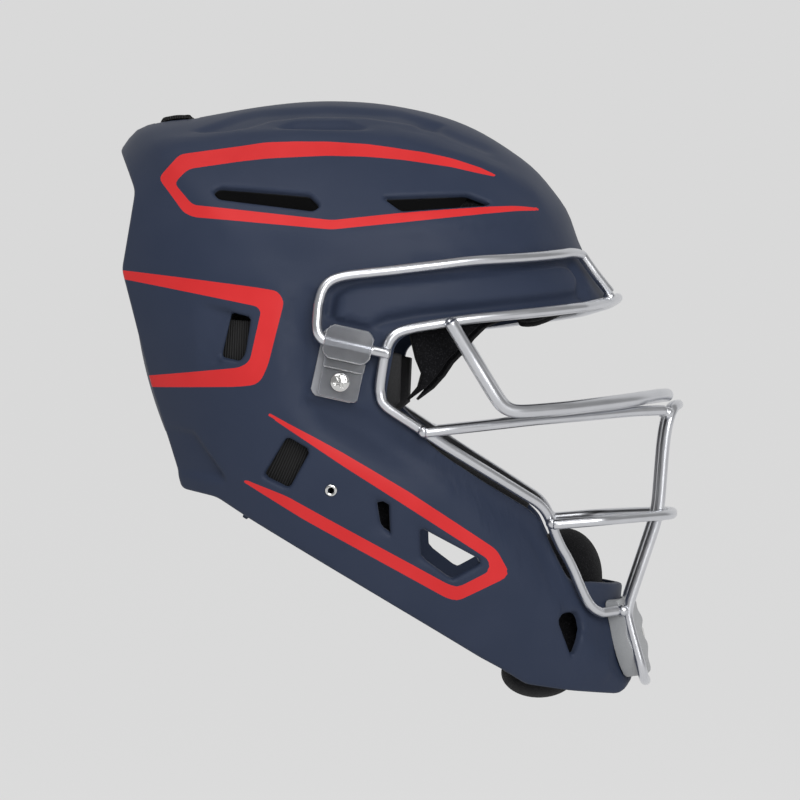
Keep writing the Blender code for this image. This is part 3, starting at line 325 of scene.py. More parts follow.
STEPS = [
    # outline, height, width of its edge
    ([(-5.6, 26), (-7.6, -10), (-8.3, -19.2), (-5.9, -28.6), (2, -36.4), (17.6, -44), (60, -67), (62, -62),
      (37, -47), (22, -34), (17.5, -24), (18.5, -10), (20, 6), (4, 8), (2, 30)], -1.1, 2.2),
    ([(5.5, 25.5), (10.5, 29), (18, 30.8), (78.8, 36.4), (122, 41.6), (127.5, 40), (131.5, 34.5), (130.8, 28),
      (100, 24), (78.6, 21.2), (47.6, 17.6), (30, 14.5), (22, 9), (4, 9)], 0.9, 2.4),
    ([(-66, 111), (-50.4, 110.6), (-39.4, 112.9), (-27.4, 117.2), (-8.3, 119.4), (21.6, 118.9), (45, 115.4),
      (60, 112), (63, 114.5), (40.9, 121.7), (4, 123.8), (-32, 122.1), (-41.9, 120)], -1.8, 1.8),
    ([(-23.5, 111.7), (-15.6, 114.6), (11.7, 114.9), (20.3, 111), (-1, 110.7)], -2.2, 1.2),
    ([(131.3, -163), (135.4, -174), (149.2, -176), (150.2, -154)], 0.8, 2.4),
]
# outline, deepest place forward, shallow place forward, depth, width of its edge
SCOOPS = [
    ([(-68, 22), (-49, 17), (-54.8, -9), (-68, -10.6)], -49.0, -67.0, 3.2, 2.0),
    ([(-88, -40.6), (-69, -44.6), (-52.6, -68.4), (-79, -65.4)], -54.0, -86.0, 3.2, 2.6),
    ([(41.5, -86), (49.5, -91), (49.5, -111), (42.5, -112)], 49.0, 42.0, 1.6, 1.4),
    ([(19.5, -76), (27, -78.6), (29, -97), (21.5, -95)], 27.0, 20.0, 1.4, 1.4),
]
VENT_BEVEL = 1.9
RIM_ROUNDING = 1.6


def relief(across, forward, up):
    """Height over the skin, in millimetres, of the creases, steps and scoops."""
    height = np.zeros(forward.shape)
    for points, half_width, rise, fade in CREASES:
        distance, along = line_distance(points, forward, up)
        ends = ease(along / fade) * ease((1 - along) / fade)
        height += 1.45 * rise * ends * np.exp(-((distance / max(half_width, 2.5)) ** 2))
    for outline, rise, edge in STEPS:
        height += 1.2 * rise * ease(0.5 - outline_distance(outline, forward, up) / max(edge, 3.0))
    for outline, deep, shallow, depth, edge in SCOOPS:
        ramp = ease((forward - shallow) / (deep - shallow)) ** 0.8
        height -= depth * ramp * ease(0.5 - outline_distance(outline, forward, up) / edge)
    return height


def rounding(distance, radius):
    """How far a rounded edge falls away at a distance from the edge."""
    inside = np.clip(radius - distance, 0.0, radius)
    return radius - np.sqrt(np.maximum(radius**2 - inside**2, 0.0))


print(len(CREASES), "creases,", len(STEPS), "steps and", len(SCOOPS), "scoops a side")

# %% [markdown]
# ## The shell's mesh
# The shell starts as a cube divided into small squares and blown up into a ball, because a ball made that
# way has no crowded poles. Each point of the ball belongs to one place of the skin. The squares are divided
# again near every edge, stripe and crease, then trimmed exactly along the openings, thickened into a wall
# and pushed in or out by the relief.

# %% A ball of even squares, and the place of each of its points on the skin
BALL_CUTS = 38


def even_ball():
    bm = bmesh.new()
    bmesh.ops.create_cube(bm, size=2.0)
    bmesh.ops.subdivide_edges(bm, edges=bm.edges, cuts=BALL_CUTS, use_grid_fill=True)
    for vert in bm.verts:
        vert.co = Vector([math.tan(c * math.pi / 4) for c in vert.co]).normalized()
    return bm


def ball_places(bm):
    """Across, forward and up of every point of the ball, on the skin."""
    co = np.array([v.co for v in bm.verts])
    co /= np.linalg.norm(co, axis=1, keepdims=True)
    far = reach(np.arctan2(co[:, 2], co[:, 1]))
    forward, up = far * co[:, 1], far * co[:, 2]
    across = np.sign(co[:, 0]) * skin_width(forward, up)
    return across, forward, up


ball = even_ball()
print("ball:", len(ball.faces), "squares")

# %% Throw away what is well inside the openings
def delete_faces(bm, chosen):
    bmesh.ops.delete(bm, geom=chosen, context="FACES")
    loose = [v for v in bm.verts if not v.link_faces]
    bmesh.ops.delete(bm, geom=loose, context="VERTS")
    bm.verts.index_update()
    bm.faces.ensure_lookup_table()


rim = rim_distance(*ball_places(ball))
delete_faces(ball, [f for f in ball.faces if max(rim[v.index] for v in f.verts) < -3.0])
print("kept", len(ball.faces), "squares")

# %% Divide the squares near edges, stripes and creases
def detail_distance(across, forward, up):
    """How near a place is to something that needs small squares."""
    nearest = np.minimum(np.abs(rim_distance(across, forward, up)), np.abs(stripe_distance(forward, up)))
    for points, half_width, rise, fade in CREASES:
        if half_width < 3:
            distance, _ = line_distance(points, forward, up)
            nearest = np.minimum(nearest, np.maximum(distance - half_width, 0))
    for outline, rise, edge in STEPS:
        nearest = np.minimum(nearest, np.abs(outline_distance(outline, forward, up)))
    for outline, deep, shallow, depth, edge in SCOOPS:
        nearest = np.minimum(nearest, np.abs(outline_distance(outline, forward, up)))
    return nearest


def divide_near(bm, within):
    near = detail_distance(*ball_places(bm)) < within
    edges = {e for f in bm.faces if any(near[v.index] for v in f.verts) for e in f.edges}
    bmesh.ops.subdivide_edges(bm, edges=list(edges), cuts=1, use_grid_fill=True)
    for vert in bm.verts:
        vert.co.normalize()
    bm.verts.index_update()


divide_near(ball, 3.4)
divide_near(ball, 1.3)
print("after dividing:", len(ball.faces), "faces")

# %% Trim along a distance, so that an edge of the mesh runs exactly there
def trim_along(bm, distance_of, level, locked):
    """Moves or adds points where a distance crosses a level, and joins them into a line of edges."""
    values = distance_of(*ball_places(bm)) - level
    nearest = {}
    for edge in bm.edges:
        a, b = edge.verts
        va, vb = values[a.index], values[b.index]
        if va * vb >= 0:
            continue
        t = va / (va - vb)
        for vert, other, share in ((a, b, t), (b, a, 1 - t)):
            if share < 0.3 and vert not in locked and share < nearest.get(vert, (1.0,))[0]:
                nearest[vert] = (share, other.co.copy())
    for vert, (share, other) in nearest.items():
        vert.co = vert.co.lerp(other, share).normalized()
    on_line = set(nearest)
    values = distance_of(*ball_places(bm)) - level
    crossing = [
        e for e in bm.edges
        if values[e.verts[0].index] * values[e.verts[1].index] < 0
        and e.verts[0] not in on_line and e.verts[1] not in on_line
    ]
    for edge in crossing:
        a, b = edge.verts
        va, vb = values[a.index], values[b.index]
        _, new = bmesh.utils.edge_split(edge, a, va / (va - vb))
        new.co.normalize()
        on_line.add(new)
    bmesh.ops.connect_verts(bm, verts=list(on_line), check_degenerate=True)
    bm.verts.index_update()
    return locked | on_line


locked = trim_along(ball, rim_distance, 0.0, set())
for level in (0.4, 1.6):
    locked = trim_along(ball, rim_distance, level, locked)
rim = rim_distance(*ball_places(ball))
middle_of = {f: np.mean([rim[v.index] for v in f.verts]) for f in ball.faces}
delete_faces(ball, [f for f in ball.faces if middle_of[f] < 0])
ball.verts.index_update()
rim = rim_distance(*ball_places(ball))
strays = [vert for vert in ball.verts if rim[vert.index] < -0.05]
for vert in strays:
    others = [edge.other_vert(vert) for edge in vert.link_edges]
    inner = max(others, key=lambda other: rim[other.index])
    here, there = rim[vert.index], rim[inner.index]
    if there > 0:
        vert.co = vert.co.lerp(inner.co, here / (here - there)).normalized()
print("points pulled back to the rim:", len(strays))
bmesh.ops.triangulate(ball, faces=[f for f in ball.faces if len(f.verts) > 4])
print("trimmed shell:", len(ball.faces), "faces")

# %% Put the ball's points on the skin, give the wall its thickness, and press in the relief
WALL = 4.0
SEAT_ACROSS = 109.8
CLIP_CENTRE = (9.6, -9.5)
CLIP_TILT = math.radians(12.4)


def clip_corners(grow):
    """The clip's outline in side view, turned to its tilt and grown by some millimetres."""
    corners = []
    for f, u in ((12.5, 18.5), (-12.5, 18.5), (-12.5, -18.5), (12.5, -18.5)):
        f, u = math.copysign(abs(f) + grow, f), math.copysign(abs(u) + grow, u)
        corners.append((
            CLIP_CENTRE[0] + f * math.cos(CLIP_TILT) + u * math.sin(CLIP_TILT),
            CLIP_CENTRE[1] - f * math.sin(CLIP_TILT) + u * math.cos(CLIP_TILT),
        ))
    return corners


across, forward, up = ball_places(ball)
for vert, x, f, u in zip(ball.verts, across, forward, up):
    vert.co = world(x, f, u)
ball.normal_update()
outer_count = len(ball.verts)
ball.verts.ensure_lookup_table()
facing_out = sum(f.normal.dot(f.calc_center_median()) for f in ball.faces) > 0
if not facing_out:
    bmesh.ops.reverse_faces(ball, faces=ball.faces)
bmesh.ops.solidify(ball, geom=ball.faces[:], thickness=WALL * MM)
ball.verts.index_update()
place = np.array([v.co for v in ball.verts]) / MM
across, forward, up = place[:, 0], -place[:, 1], place[:, 2]
level = skin_level(across, forward, up)
outer = np.abs(level) < 0.004
print("wall:", int(outer.sum()), "outer points of", len(ball.verts), "and", len(ball.faces), "faces")

# %% Press the relief into the outer face and round its edges
def evened(bm, values, rounds):
    """The values, each moved towards the average of its neighbours a few times."""
    pairs = np.array([(e.verts[0].index, e.verts[1].index) for e in bm.edges])
    ends = np.concatenate([pairs[:, 0], pairs[:, 1]])
    others = np.concatenate([pairs[:, 1], pairs[:, 0]])
    count = np.bincount(ends, minlength=len(values))
    for _ in range(rounds):
        values = 0.5 * values + 0.5 * np.bincount(ends, values[others], len(values)) / np.maximum(count, 1)
    return values


def press_relief(bm, outer, across, forward, up):
    rim = rim_distance(across, forward, up)
    vents = vent_distance(across, forward, up)
    bm.verts.index_update()
    height = evened(bm, relief(across, forward, up), 3)
    height -= np.where(vents < 6, rounding(vents, VENT_BEVEL), 0.0)
    height -= np.where(vents > 3, rounding(rim, RIM_ROUNDING), 0.0)
    outward = skin_outward(across, forward, up)
    seat = ease(0.5 - outline_distance(clip_corners(3.0), forward, up) / 2.5)
    for vert, is_outer, h, n, s in zip(bm.verts, outer, height, outward, seat):
        if is_outer:
            vert.co += Vector(n) * float(h) * MM
            if s > 0:
                flat = math.copysign(SEAT_ACROSS * MM, vert.co.x)
                vert.co.x += (flat - vert.co.x) * float(s)


press_relief(ball, outer, across, forward, up)
print("relief pressed")

# %% Store the distance to the stripes and the mark for the painted shade inside the crown, and finish the shell object
def side_sweep(x):
    """How far a place moves for its distance from the middle plane: none there, full at the sides."""
    share = float(ease(abs(x) / (0.89 * 112.0 * MM)))
    return Vector((0, -8.2 * share, -1.3 * share)) * MM


def finished(name, bm, material=None, smooth=True, sharp=None, sweep=True):
    """A mesh object at the origin, made of this bmesh, with its sides swept forward."""
    if sweep:
        for vert in bm.verts:
            vert.co += side_sweep(vert.co.x)
    mesh = bpy.data.meshes.new(name)
    bm.to_mesh(mesh)
    bm.free()
    piece = bpy.data.objects.new(name, mesh)
    bpy.context.scene.collection.objects.link(piece)
    if material is not None:
        mesh.materials.append(material)
    if smooth:
        mesh.shade_smooth()
    if sharp is not None:
        mesh.set_sharp_from_angle(angle=math.radians(sharp))
    return piece


# Inner points high in the crown get the mark 90, which the paint turns near-black: painted shade, standing in for the
# shadow and black foam seen through the crown's vents. The rest of the inside gets 50 and stays navy.
painted_dark_inside = np.where(up > 52.0, 90.0, 50.0)
stripe = np.where(outer, np.minimum(stripe_distance(forward, up), 50.0), painted_dark_inside)
shell = finished("helmet_shell", ball, sharp=50.0)
shell.data.attributes.new("stripe", "FLOAT", "POINT").data.foreach_set("value", stripe.astype(np.float32))
print("helmet_shell:", len(shell.data.polygons), "faces")

# %% [markdown]
# ## Finishes
# Each finish is a small tree of shader nodes. Patterns are in real millimetres, read from the object's own
# coordinates, so they keep their scale on every piece: fine grain in the moulded shell, soft clouds and fine
# pits in the plated wire, brushed nap in the knit.

# %% A helper that starts a finish, and one that adds a bump
def new_finish(name, colour, roughness, **more):
    finish = bpy.data.materials.new(name)
    finish.use_nodes = True
    shader = finish.node_tree.nodes["Principled BSDF"]
    shader.inputs["Base Color"].default_value = (*colour, 1.0)
    shader.inputs["Roughness"].default_value = roughness
    for key, value in more.items():
        shader.inputs[key.replace("_", " ")].default_value = value
    return finish, finish.node_tree.nodes, finish.node_tree.links, shader


def noise(nodes, links, scale, detail=3.0, stretch=None, coordinate="Object"):
    """A noise of so many lumps a metre, in the piece's own coordinates."""
    where = nodes.new("ShaderNodeTexCoord")
    texture = nodes.new("ShaderNodeTexNoise")
    texture.inputs["Scale"].default_value = scale
    texture.inputs["Detail"].default_value = detail
    if stretch is None:
        links.new(where.outputs[coordinate], texture.inputs["Vector"])
    else:
        mapping = nodes.new("ShaderNodeMapping")
        mapping.inputs["Scale"].default_value = stretch
        links.new(where.outputs[coordinate], mapping.inputs["Vector"])
        links.new(mapping.outputs["Vector"], texture.inputs["Vector"])
    return texture


def add_bump(nodes, links, shader, height, distance, strength=1.0):
    bump = nodes.new("ShaderNodeBump")
    bump.inputs["Distance"].default_value = distance
    bump.inputs["Strength"].default_value = strength
    links.new(height, bump.inputs["Height"])
    links.new(bump.outputs["Normal"], shader.inputs["Normal"])
    return bump


def ramp_between(nodes, links, value, low, high, first, last):
    """Two colours with a blend between two values."""
    ramp = nodes.new("ShaderNodeMapRange")
    ramp.inputs["From Min"].default_value = low
    ramp.inputs["From Max"].default_value = high
    links.new(value, ramp.inputs["Value"])
    mix = nodes.new("ShaderNodeMix")
    mix.data_type = "RGBA"
    links.new(ramp.outputs["Result"], mix.inputs["Factor"])
    mix.inputs["A"].default_value = (*first, 1.0)
    mix.inputs["B"].default_value = (*last, 1.0)
    return mix


# %% Two-tone shell paint
NAVY = (0.030, 0.040, 0.070)
RED = (0.62, 0.030, 0.030)


def shell_paint():
    """Dark blue moulded plastic with red stripes edged where the stripe distance passes 0; the crown's inside is
    painted shade.
    """
    paint, nodes, links, shader = new_finish("shell_paint", NAVY, 0.5)
    shader.inputs["Specular IOR Level"].default_value = 0.16
    depth = nodes.new("ShaderNodeAttribute")
    depth.attribute_name = "stripe"
    tint = noise(nodes, links, 40.0, 2.0)
    blue = ramp_between(nodes, links, tint.outputs["Fac"], 0.3, 0.7, (0.0265, 0.0365, 0.066), (0.0295, 0.0395, 0.070))
    red = ramp_between(nodes, links, tint.outputs["Fac"], 0.3, 0.7, (0.62, 0.026, 0.028), (0.66, 0.032, 0.034))
    edge = nodes.new("ShaderNodeMath")
    edge.operation = "LESS_THAN"
    edge.inputs[1].default_value = 0.2
    links.new(depth.outputs["Fac"], edge.inputs[0])
    mix = nodes.new("ShaderNodeMix")
    mix.data_type = "RGBA"
    links.new(edge.outputs["Value"], mix.inputs["Factor"])
    links.new(blue.outputs["Result"], mix.inputs["A"])
    links.new(red.outputs["Result"], mix.inputs["B"])
    # Where the mark passes 60, high inside the crown, the colour turns near-black: painted shade behind the vents.
    inside = nodes.new("ShaderNodeMath")
    inside.operation = "GREATER_THAN"
    inside.inputs[1].default_value = 60.0
    links.new(depth.outputs["Fac"], inside.inputs[0])
    shaded_inside = nodes.new("ShaderNodeMix")
    shaded_inside.data_type = "RGBA"
    shaded_inside.inputs["B"].default_value = (0.005, 0.005, 0.006, 1.0)
    links.new(inside.outputs["Value"], shaded_inside.inputs["Factor"])
    links.new(mix.outputs["Result"], shaded_inside.inputs["A"])
    links.new(shaded_inside.outputs["Result"], shader.inputs["Base Color"])
    grain = noise(nodes, links, 2600.0, 2.0)
    gloss = nodes.new("ShaderNodeMapRange")
    gloss.inputs["To Min"].default_value = 0.44
    gloss.inputs["To Max"].default_value = 0.56
    links.new(grain.outputs["Fac"], gloss.inputs["Value"])
    links.new(gloss.outputs["Result"], shader.inputs["Roughness"])
    add_bump(nodes, links, shader, grain.outputs["Fac"], 0.00006, 0.5)
    return paint


shell.data.materials.append(shell_paint())
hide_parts("shell")
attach(shell, "helmet")
print("shell painted")

# %% Satin plating of the cage, and bright steel
def satin_plating():
    """Satin silver over drawn rod: soft clouds in the gloss, and fine pits."""
    finish, nodes, links, shader = new_finish("satin_plating", (0.62, 0.63, 0.645), 0.34, Metallic=1.0)
    cloud = noise(nodes, links, 90.0, 4.0)
    gloss = nodes.new("ShaderNodeMapRange")
    gloss.inputs["To Min"].default_value = 0.26
    gloss.inputs["To Max"].default_value = 0.34
    links.new(cloud.outputs["Fac"], gloss.inputs["Value"])
    links.new(gloss.outputs["Result"], shader.inputs["Roughness"])
    tone = ramp_between(nodes, links, cloud.outputs["Fac"], 0.3, 0.7, (0.66, 0.67, 0.70), (0.70, 0.71, 0.74))
    links.new(tone.outputs["Result"], shader.inputs["Base Color"])
    pits = noise(nodes, links, 1500.0, 2.0)
    add_bump(nodes, links, shader, pits.outputs["Fac"], 0.00001, 0.3)
    return finish


def bright_steel():
    finish, nodes, links, shader = new_finish("bright_steel", (0.72, 0.72, 0.71), 0.12, Metallic=1.0)
    scratch = noise(nodes, links, 900.0, 3.0, (1.0, 0.25, 1.0))
    gloss = nodes.new("ShaderNodeMapRange")
    gloss.inputs["To Min"].default_value = 0.08
    gloss.inputs["To Max"].default_value = 0.22
    links.new(scratch.outputs["Fac"], gloss.inputs["Value"])
    links.new(gloss.outputs["Result"], shader.inputs["Roughness"])
    add_bump(nodes, links, shader, scratch.outputs["Fac"], 0.00002, 0.5)
    return finish


PLATING = satin_plating()
STEEL = bright_steel()
print("metal finishes ready")

# %% [markdown]
# ## Wire cage
# The cage is bent from round rod and welded where the rods meet. Each rod is a smooth line with a round
# section swept along it, and the ends are flat with a small round edge, as sheared rod has. A low bead of
# weld fills each joint.

# %% Smooth lines through points
def tangent(before, here, after):
    first, second = max((here - before).length, 1e-9), max((after - here).length, 1e-9)
    return ((here - before) * (second / first) + (after - here) * (first / second)) / (first + second)


def smooth_line(points, step, closed=False):
    """Points about a step apart on the smooth curve through the given points."""
    count, found = len(points), []
    for i in range(count if closed else count - 1):
        b, c = points[i], points[(i + 1) % count]
        a = points[i - 1] if closed or i > 0 else b * 2 - c
        d = points[(i + 2) % count] if closed or i + 2 < count else c * 2 - b
        length = (c - b).length
        tb, tc = tangent(a, b, c) * length, tangent(b, c, d) * length
        pieces = max(1, math.ceil(length / step))
        for k in range(pieces):
            t = k / pieces
            found.append(
                b * (2 * t**3 - 3 * t**2 + 1) + tb * (t**3 - 2 * t**2 + t)
                + c * (3 * t**2 - 2 * t**3) + tc * (t**3 - t**2)
            )
    if not closed:
        found.append(points[-1].copy())
    return found


def bent_line(points, step, bend, closed=False):
    """Straight runs through the given points with a round bend at each corner, in points about a step apart."""
    count, found = len(points), []
    for i in range(count):
        here = points[i]
        if not closed and i in (0, count - 1):
            ends = [here]
        else:
            before, after = points[i - 1], points[(i + 1) % count]
            first = here.lerp(before, min(bend / max((before - here).length, 1e-9), 0.5))
            last = here.lerp(after, min(bend / max((after - here).length, 1e-9), 0.5))
            ends = [first.lerp(here, t).lerp(here.lerp(last, t), t) for t in np.linspace(0, 1, 7)]
        if found:
            gap = (ends[0] - found[-1]).length
            pieces = max(1, math.ceil(gap / step))
            start = found[-1]
            found += [start.lerp(ends[0], k / pieces) for k in range(1, pieces)]
        found += [p for p in ends if not found or (p - found[-1]).length > step * 0.15]
    return found


def side_run(run, height, bend=9.0):
    """A run of (forward, up) places, straight with round bends in the side view, laid over the skin."""
    flat = bent_line([Vector((f, u, 0)) for f, u in run], 3.0, bend)
    return [on_side(p.x, p.y, height, 1) for p in flat]


def front_run(run, height):
    flat = bent_line([Vector((x, u, 0)) for x, u in run], 3.0, 9.0)
    return [on_front(p.x, p.y, height) for p in flat]


def mirrored(points):
    return [Vector((-p.x, p.y, p.z)) for p in points]


# %% A rod swept along a line
def rod_mesh(points, radius, closed=False, sides=16):
    """A round rod along a line, as a bmesh: a ring of points is extruded from place to place."""
    bm = bmesh.new()
    count = len(points)

    def heading(i):
        if closed:
            return (points[(i + 1) % count] - points[i - 1]).normalized()
        return (points[min(i + 1, count - 1)] - points[max(i - 1, 0)]).normalized()

    turn = heading(0).to_track_quat("Z", "Y")
    first = bmesh.ops.create_circle(bm, segments=sides, radius=radius, cap_ends=False)["verts"]
    ring = first
    for vert in ring:
        vert.co = points[0] + turn @ vert.co
    last_heading = heading(0)
    steps = range(1, count)
    for i in steps:
        edges = list({e for v in ring for e in v.link_edges if all(w in ring for w in e.verts)})
        new = bmesh.ops.extrude_edge_only(bm, edges=edges)["geom"]
        ring = [g for g in new if isinstance(g, bmesh.types.BMVert)]
        now = heading(i)
        swing = last_heading.rotation_difference(now)
        for vert in ring:
            vert.co = points[i] + swing @ (vert.co - points[i - 1])
        last_heading = now
    if closed:
        ends = [e for e in bm.edges if e.is_boundary]
        bmesh.ops.bridge_loops(bm, edges=ends)
    else:
        caps = bmesh.ops.holes_fill(bm, edges=[e for e in bm.edges if e.is_boundary], sides=0)["faces"]
        rims = list({e for f in caps for e in f.edges})
        bmesh.ops.bevel(
            bm, geom=rims, offset=radius * 0.18, offset_type="OFFSET", segments=2, profile=0.5,
            affect="EDGES", material=-1,
        )
    bm.normal_update()
    bmesh.ops.recalc_face_normals(bm, faces=bm.faces)
    return bm


def rod(name, points, radius, node, closed=False):
    piece = finished(name, rod_mesh(points, radius, closed), PLATING, sharp=60.0)
    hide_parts(node)
    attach(piece, "helmet")
    return piece


print("rod tools ready")

# %% Lines of the frame wire, the upper wires and the eye bar
WIRE = 2.6
EYE_BAR = 3.5
STAND_OFF = 1.2
LOOP_HALF = 33.0
FRAME_SIDE = [
    (142.5, -140), (136.5, -137), (131.5, -129), (125, -113.5), (117, -99), (113, -87.5), (108, -81),
    (100.5, -76.5), (86, -67.5), (51, -46), (34, -35), (27.5, -30), (26, -25), (27.5, -14), (29.5, -2.5),
    (33, 5), (40.5, 8), (71, 13), (107, 16.5), (131, 19),
]
FRAME_FRONT = [(38, 21.5), (20, 23), (0, 23.5)]
UPPER_SIDE = [(-3.5, 19.5), (-1, 29), (6, 33.5), (37, 37), (71, 41.5), (87, 43), (123.5, 46)]
UPPER_FRONT = [(44, 45), (42, 35)]
LEG_RUN = [
    (181.5, -39), (179.5, -50.5), (176.5, -88.5), (159.8, -138), (160.6, -144.5), (165, -160), (167.5, -169),
]


def leg_place(run):
    return world(LOOP_HALF, run[0], run[1])


def frame_half():
    end = leg_place(LEG_RUN[3]) + Vector((3.0, 2 * WIRE + 0.3, -0.5)) * MM
    return [end] + side_run(FRAME_SIDE, WIRE + STAND_OFF) + front_run(FRAME_FRONT, WIRE + STAND_OFF)


def nearest_on(points, forward, up):
    return min(points, key=lambda p: math.hypot(-p.y / MM - forward, p.z / MM - up)).copy()


CLIP_INNER = SEAT_ACROSS + 0.3 + 2.2 + 0.3
CLIP_THICKNESS = 9.4
WIRE_ACROSS = CLIP_INNER + CLIP_THICKNESS - WIRE - 1.2


def through_clip(along):
    """A place on the wire's straight run through the clip, so many millimetres forward of its middle."""
    f = CLIP_CENTRE[0] + math.sin(CLIP_TILT) * 9.5 + math.cos(CLIP_TILT) * along
    u = CLIP_CENTRE[1] + math.cos(CLIP_TILT) * 9.5 - math.sin(CLIP_TILT) * along
    return world(WIRE_ACROSS, f, u)


def upper_half():
    crossing = nearest_on(bent_line(frame_half(), 2 * MM, 9 * MM), 29, -6.5)
    start = through_clip(21.5)
    start.x = max(WIRE_ACROSS * MM, crossing.x + (2 * WIRE + 1.2) * MM)
    bend = through_clip(-16.0) + Vector((0, 0.5, 3.5)) * MM
    points = [start] + [through_clip(a) for a in (13.3, 12.8, -12.8, -13.3)] + [bend]
    points += side_run(UPPER_SIDE, WIRE + STAND_OFF + 1.0) + front_run(UPPER_FRONT, WIRE + STAND_OFF + 1.0)
    brow = on_front(38, 21.5, WIRE + STAND_OFF)
    return points + [brow + Vector((1.0, -0.5, 2 * WIRE - 0.6)) * MM]


def eye_bar_half():
    start = nearest_on(bent_line(frame_half(), 2 * MM, 9 * MM), 62.5, 12)
    start.x += (WIRE + EYE_BAR + 0.6) * MM
    run = [
        (73.1, -5.6, 108.5), (82.2, -20.8, 106.5), (86.3, -27.4, 105.3), (89.4, -31.2, 104), (93.5, -33.4, 102.5),
        (98.7, -34, 100.3), (119.9, -32.4, 88), (147.6, -29.6, 64), (164, -28, 47), (179, -26.5, 24),
        (184.6, -26.5, 0),
    ]
    return [start] + [world(x, f, u) for f, u, x in run]


def whole(half):
    return half + mirrored(half[-2::-1])


FINE = 2.5 * MM
rod("frame_rod", bent_line(whole(frame_half()), FINE, 9 * MM), WIRE * MM, "frame_wire")
upper = bent_line(upper_half(), FINE, 9 * MM)
rod("upper_rod_left", upper, WIRE * MM, "upper_wire_left")
rod("upper_rod_right", mirrored(upper), WIRE * MM, "upper_wire_right")
rod("eye_rod", bent_line(whole(eye_bar_half()), FINE, 9 * MM), EYE_BAR * MM, "eye_bar")
print("frame, upper wires and eye bar bent")

# %% Lines of the centre loop, the mid bars and the lower bar
def loop_line():
    top = [world(0, 190, -31.5), world(LOOP_HALF * 0.55, 188.4, -31.5), world(LOOP_HALF * 0.9, 184.6, -32.5)]
    bottom = [
        world(LOOP_HALF * 0.86, 169.3, -174.5), world(LOOP_HALF * 0.5, 171.5, -176.5), world(0, 172.6, -177),
    ]
    half = top + [leg_place(run) for run in LEG_RUN] + bottom
    return half + mirrored(half[-2:0:-1])


def mid_bar_line():
    start = nearest_on(bent_line(frame_half(), 2 * MM, 9 * MM), 49.5, -45)
    start.x += (2 * WIRE + 0.3) * MM
    leg = leg_place(LEG_RUN[0])
    end = Vector((leg.x + (2 * WIRE + 0.3) * MM, leg.y + 3.0 * MM, -34.0 * MM))
    run = [(60, -43.2, 106), (104, -38.5, 84), (140, -36, 62), (160, -34.5, 48)]
    return [start] + [world(x, f, u) for f, u, x in run] + [end]


def lower_bar_half():
    start = nearest_on(bent_line(frame_half(), 2 * MM, 9 * MM), 114.5, -93)
    start.x += (2 * WIRE + 0.3) * MM
    crossing = leg_place(LEG_RUN[2])
    in_front = crossing + Vector((0, -(2 * WIRE + 1.8), 0)) * MM
    middle = Vector((0, in_front.y - 3.5 * MM, in_front.z))
    return [start, world(70, 142, -90), world(50, 165, -89), in_front, middle]


rod("centre_loop_rod", bent_line(loop_line(), FINE, 9 * MM, closed=True), WIRE * MM, "centre_loop", closed=True)
mid = bent_line(mid_bar_line(), FINE, 9 * MM)
rod("mid_rod_left", mid, WIRE * MM, "mid_bar_left")
rod("mid_rod_right", mirrored(mid), WIRE * MM, "mid_bar_right")
rod("lower_rod", bent_line(whole(lower_bar_half()), FINE, 9 * MM), WIRE * MM, "lower_bar")
print("loop and bars bent")

# %% Weld beads where the rods meet
def bead(bm, place, radius=3.1):
    made = bmesh.ops.create_icosphere(bm, subdivisions=3, radius=radius * MM)["verts"]
    for vert in made:
        grain = math.sin(vert.co.x * 1900) * math.sin(vert.co.y * 2300) * math.sin(vert.co.z * 1700)
        vert.co = place + vert.co * (1 + 0.07 * grain)


def meeting(points, others):
    """The middle between the two nearest places of two rods."""
    pair = min(((p, q) for p in points for q in others), key=lambda pq: (pq[0] - pq[1]).length)
    return (pair[0] + pair[1]) / 2


frame_line = bent_line(frame_half(), FINE, 9 * MM)
loop = [p for p in bent_line(loop_line(), FINE, 9 * MM, closed=True) if p.x > 0.02]
lower = bent_line(lower_bar_half(), FINE, 9 * MM)
eye_line = bent_line(eye_bar_half(), FINE, 9 * MM)
beads = bmesh.new()
for a, b in ((frame_line, upper[:8]), (frame_line, upper[-8:]), (frame_line, eye_line[:6]), (frame_line, mid[:6]),
             (mid[-6:], loop), (frame_line, lower[:6]), (lower, loop), (frame_line[:8], loop)):
    where = meeting(a, b)
    for side in (1, -1):
        bead(beads, Vector((where.x * side, where.y, where.z)))
weld_beads = finished("weld_beads", beads, PLATING)
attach(weld_beads, "helmet")

# %% [markdown]
# ## Clips, screws and eyelets
# Each clip is a clear block with a hood over the wire and a flat tongue for the screw, on a base plate that
# shows past its rear edge. The screw has a round head with a cross pressed into it.

# %% Milky clear plastic, and light grey plastic
def clear_plastic(name, transmission):
    """Milky plastic that lets this share of the light through."""
    finish, nodes, links, shader = new_finish(name, (0.52, 0.53, 0.56), 0.28)
    shader.inputs["Transmission Weight"].default_value = transmission
    shader.inputs["IOR"].default_value = 1.40
    cloud = noise(nodes, links, 160.0, 3.0)
    tone = ramp_between(nodes, links, cloud.outputs["Fac"], 0.3, 0.7, (0.40, 0.41, 0.44), (0.50, 0.51, 0.54))
    links.new(tone.outputs["Result"], shader.inputs["Base Color"])
    add_bump(nodes, links, shader, cloud.outputs["Fac"], 0.0002, 0.4)
    return finish


def grey_plastic():
    finish, nodes, links, shader = new_finish("grey_plastic", (0.36, 0.37, 0.38), 0.5)
    grain = noise(nodes, links, 1800.0, 2.0)
    tone = ramp_between(nodes, links, grain.outputs["Fac"], 0.3, 0.7, (0.35, 0.36, 0.37), (0.40, 0.41, 0.42))
    links.new(tone.outputs["Result"], shader.inputs["Base Color"])
    add_bump(nodes, links, shader, grain.outputs["Fac"], 0.00005, 0.5)
    return finish


CLEAR = clear_plastic("clear_plastic", 0.8)
MILKY = clear_plastic("milky_plastic", 0.45)
GREY = grey_plastic()
print("plastics ready")

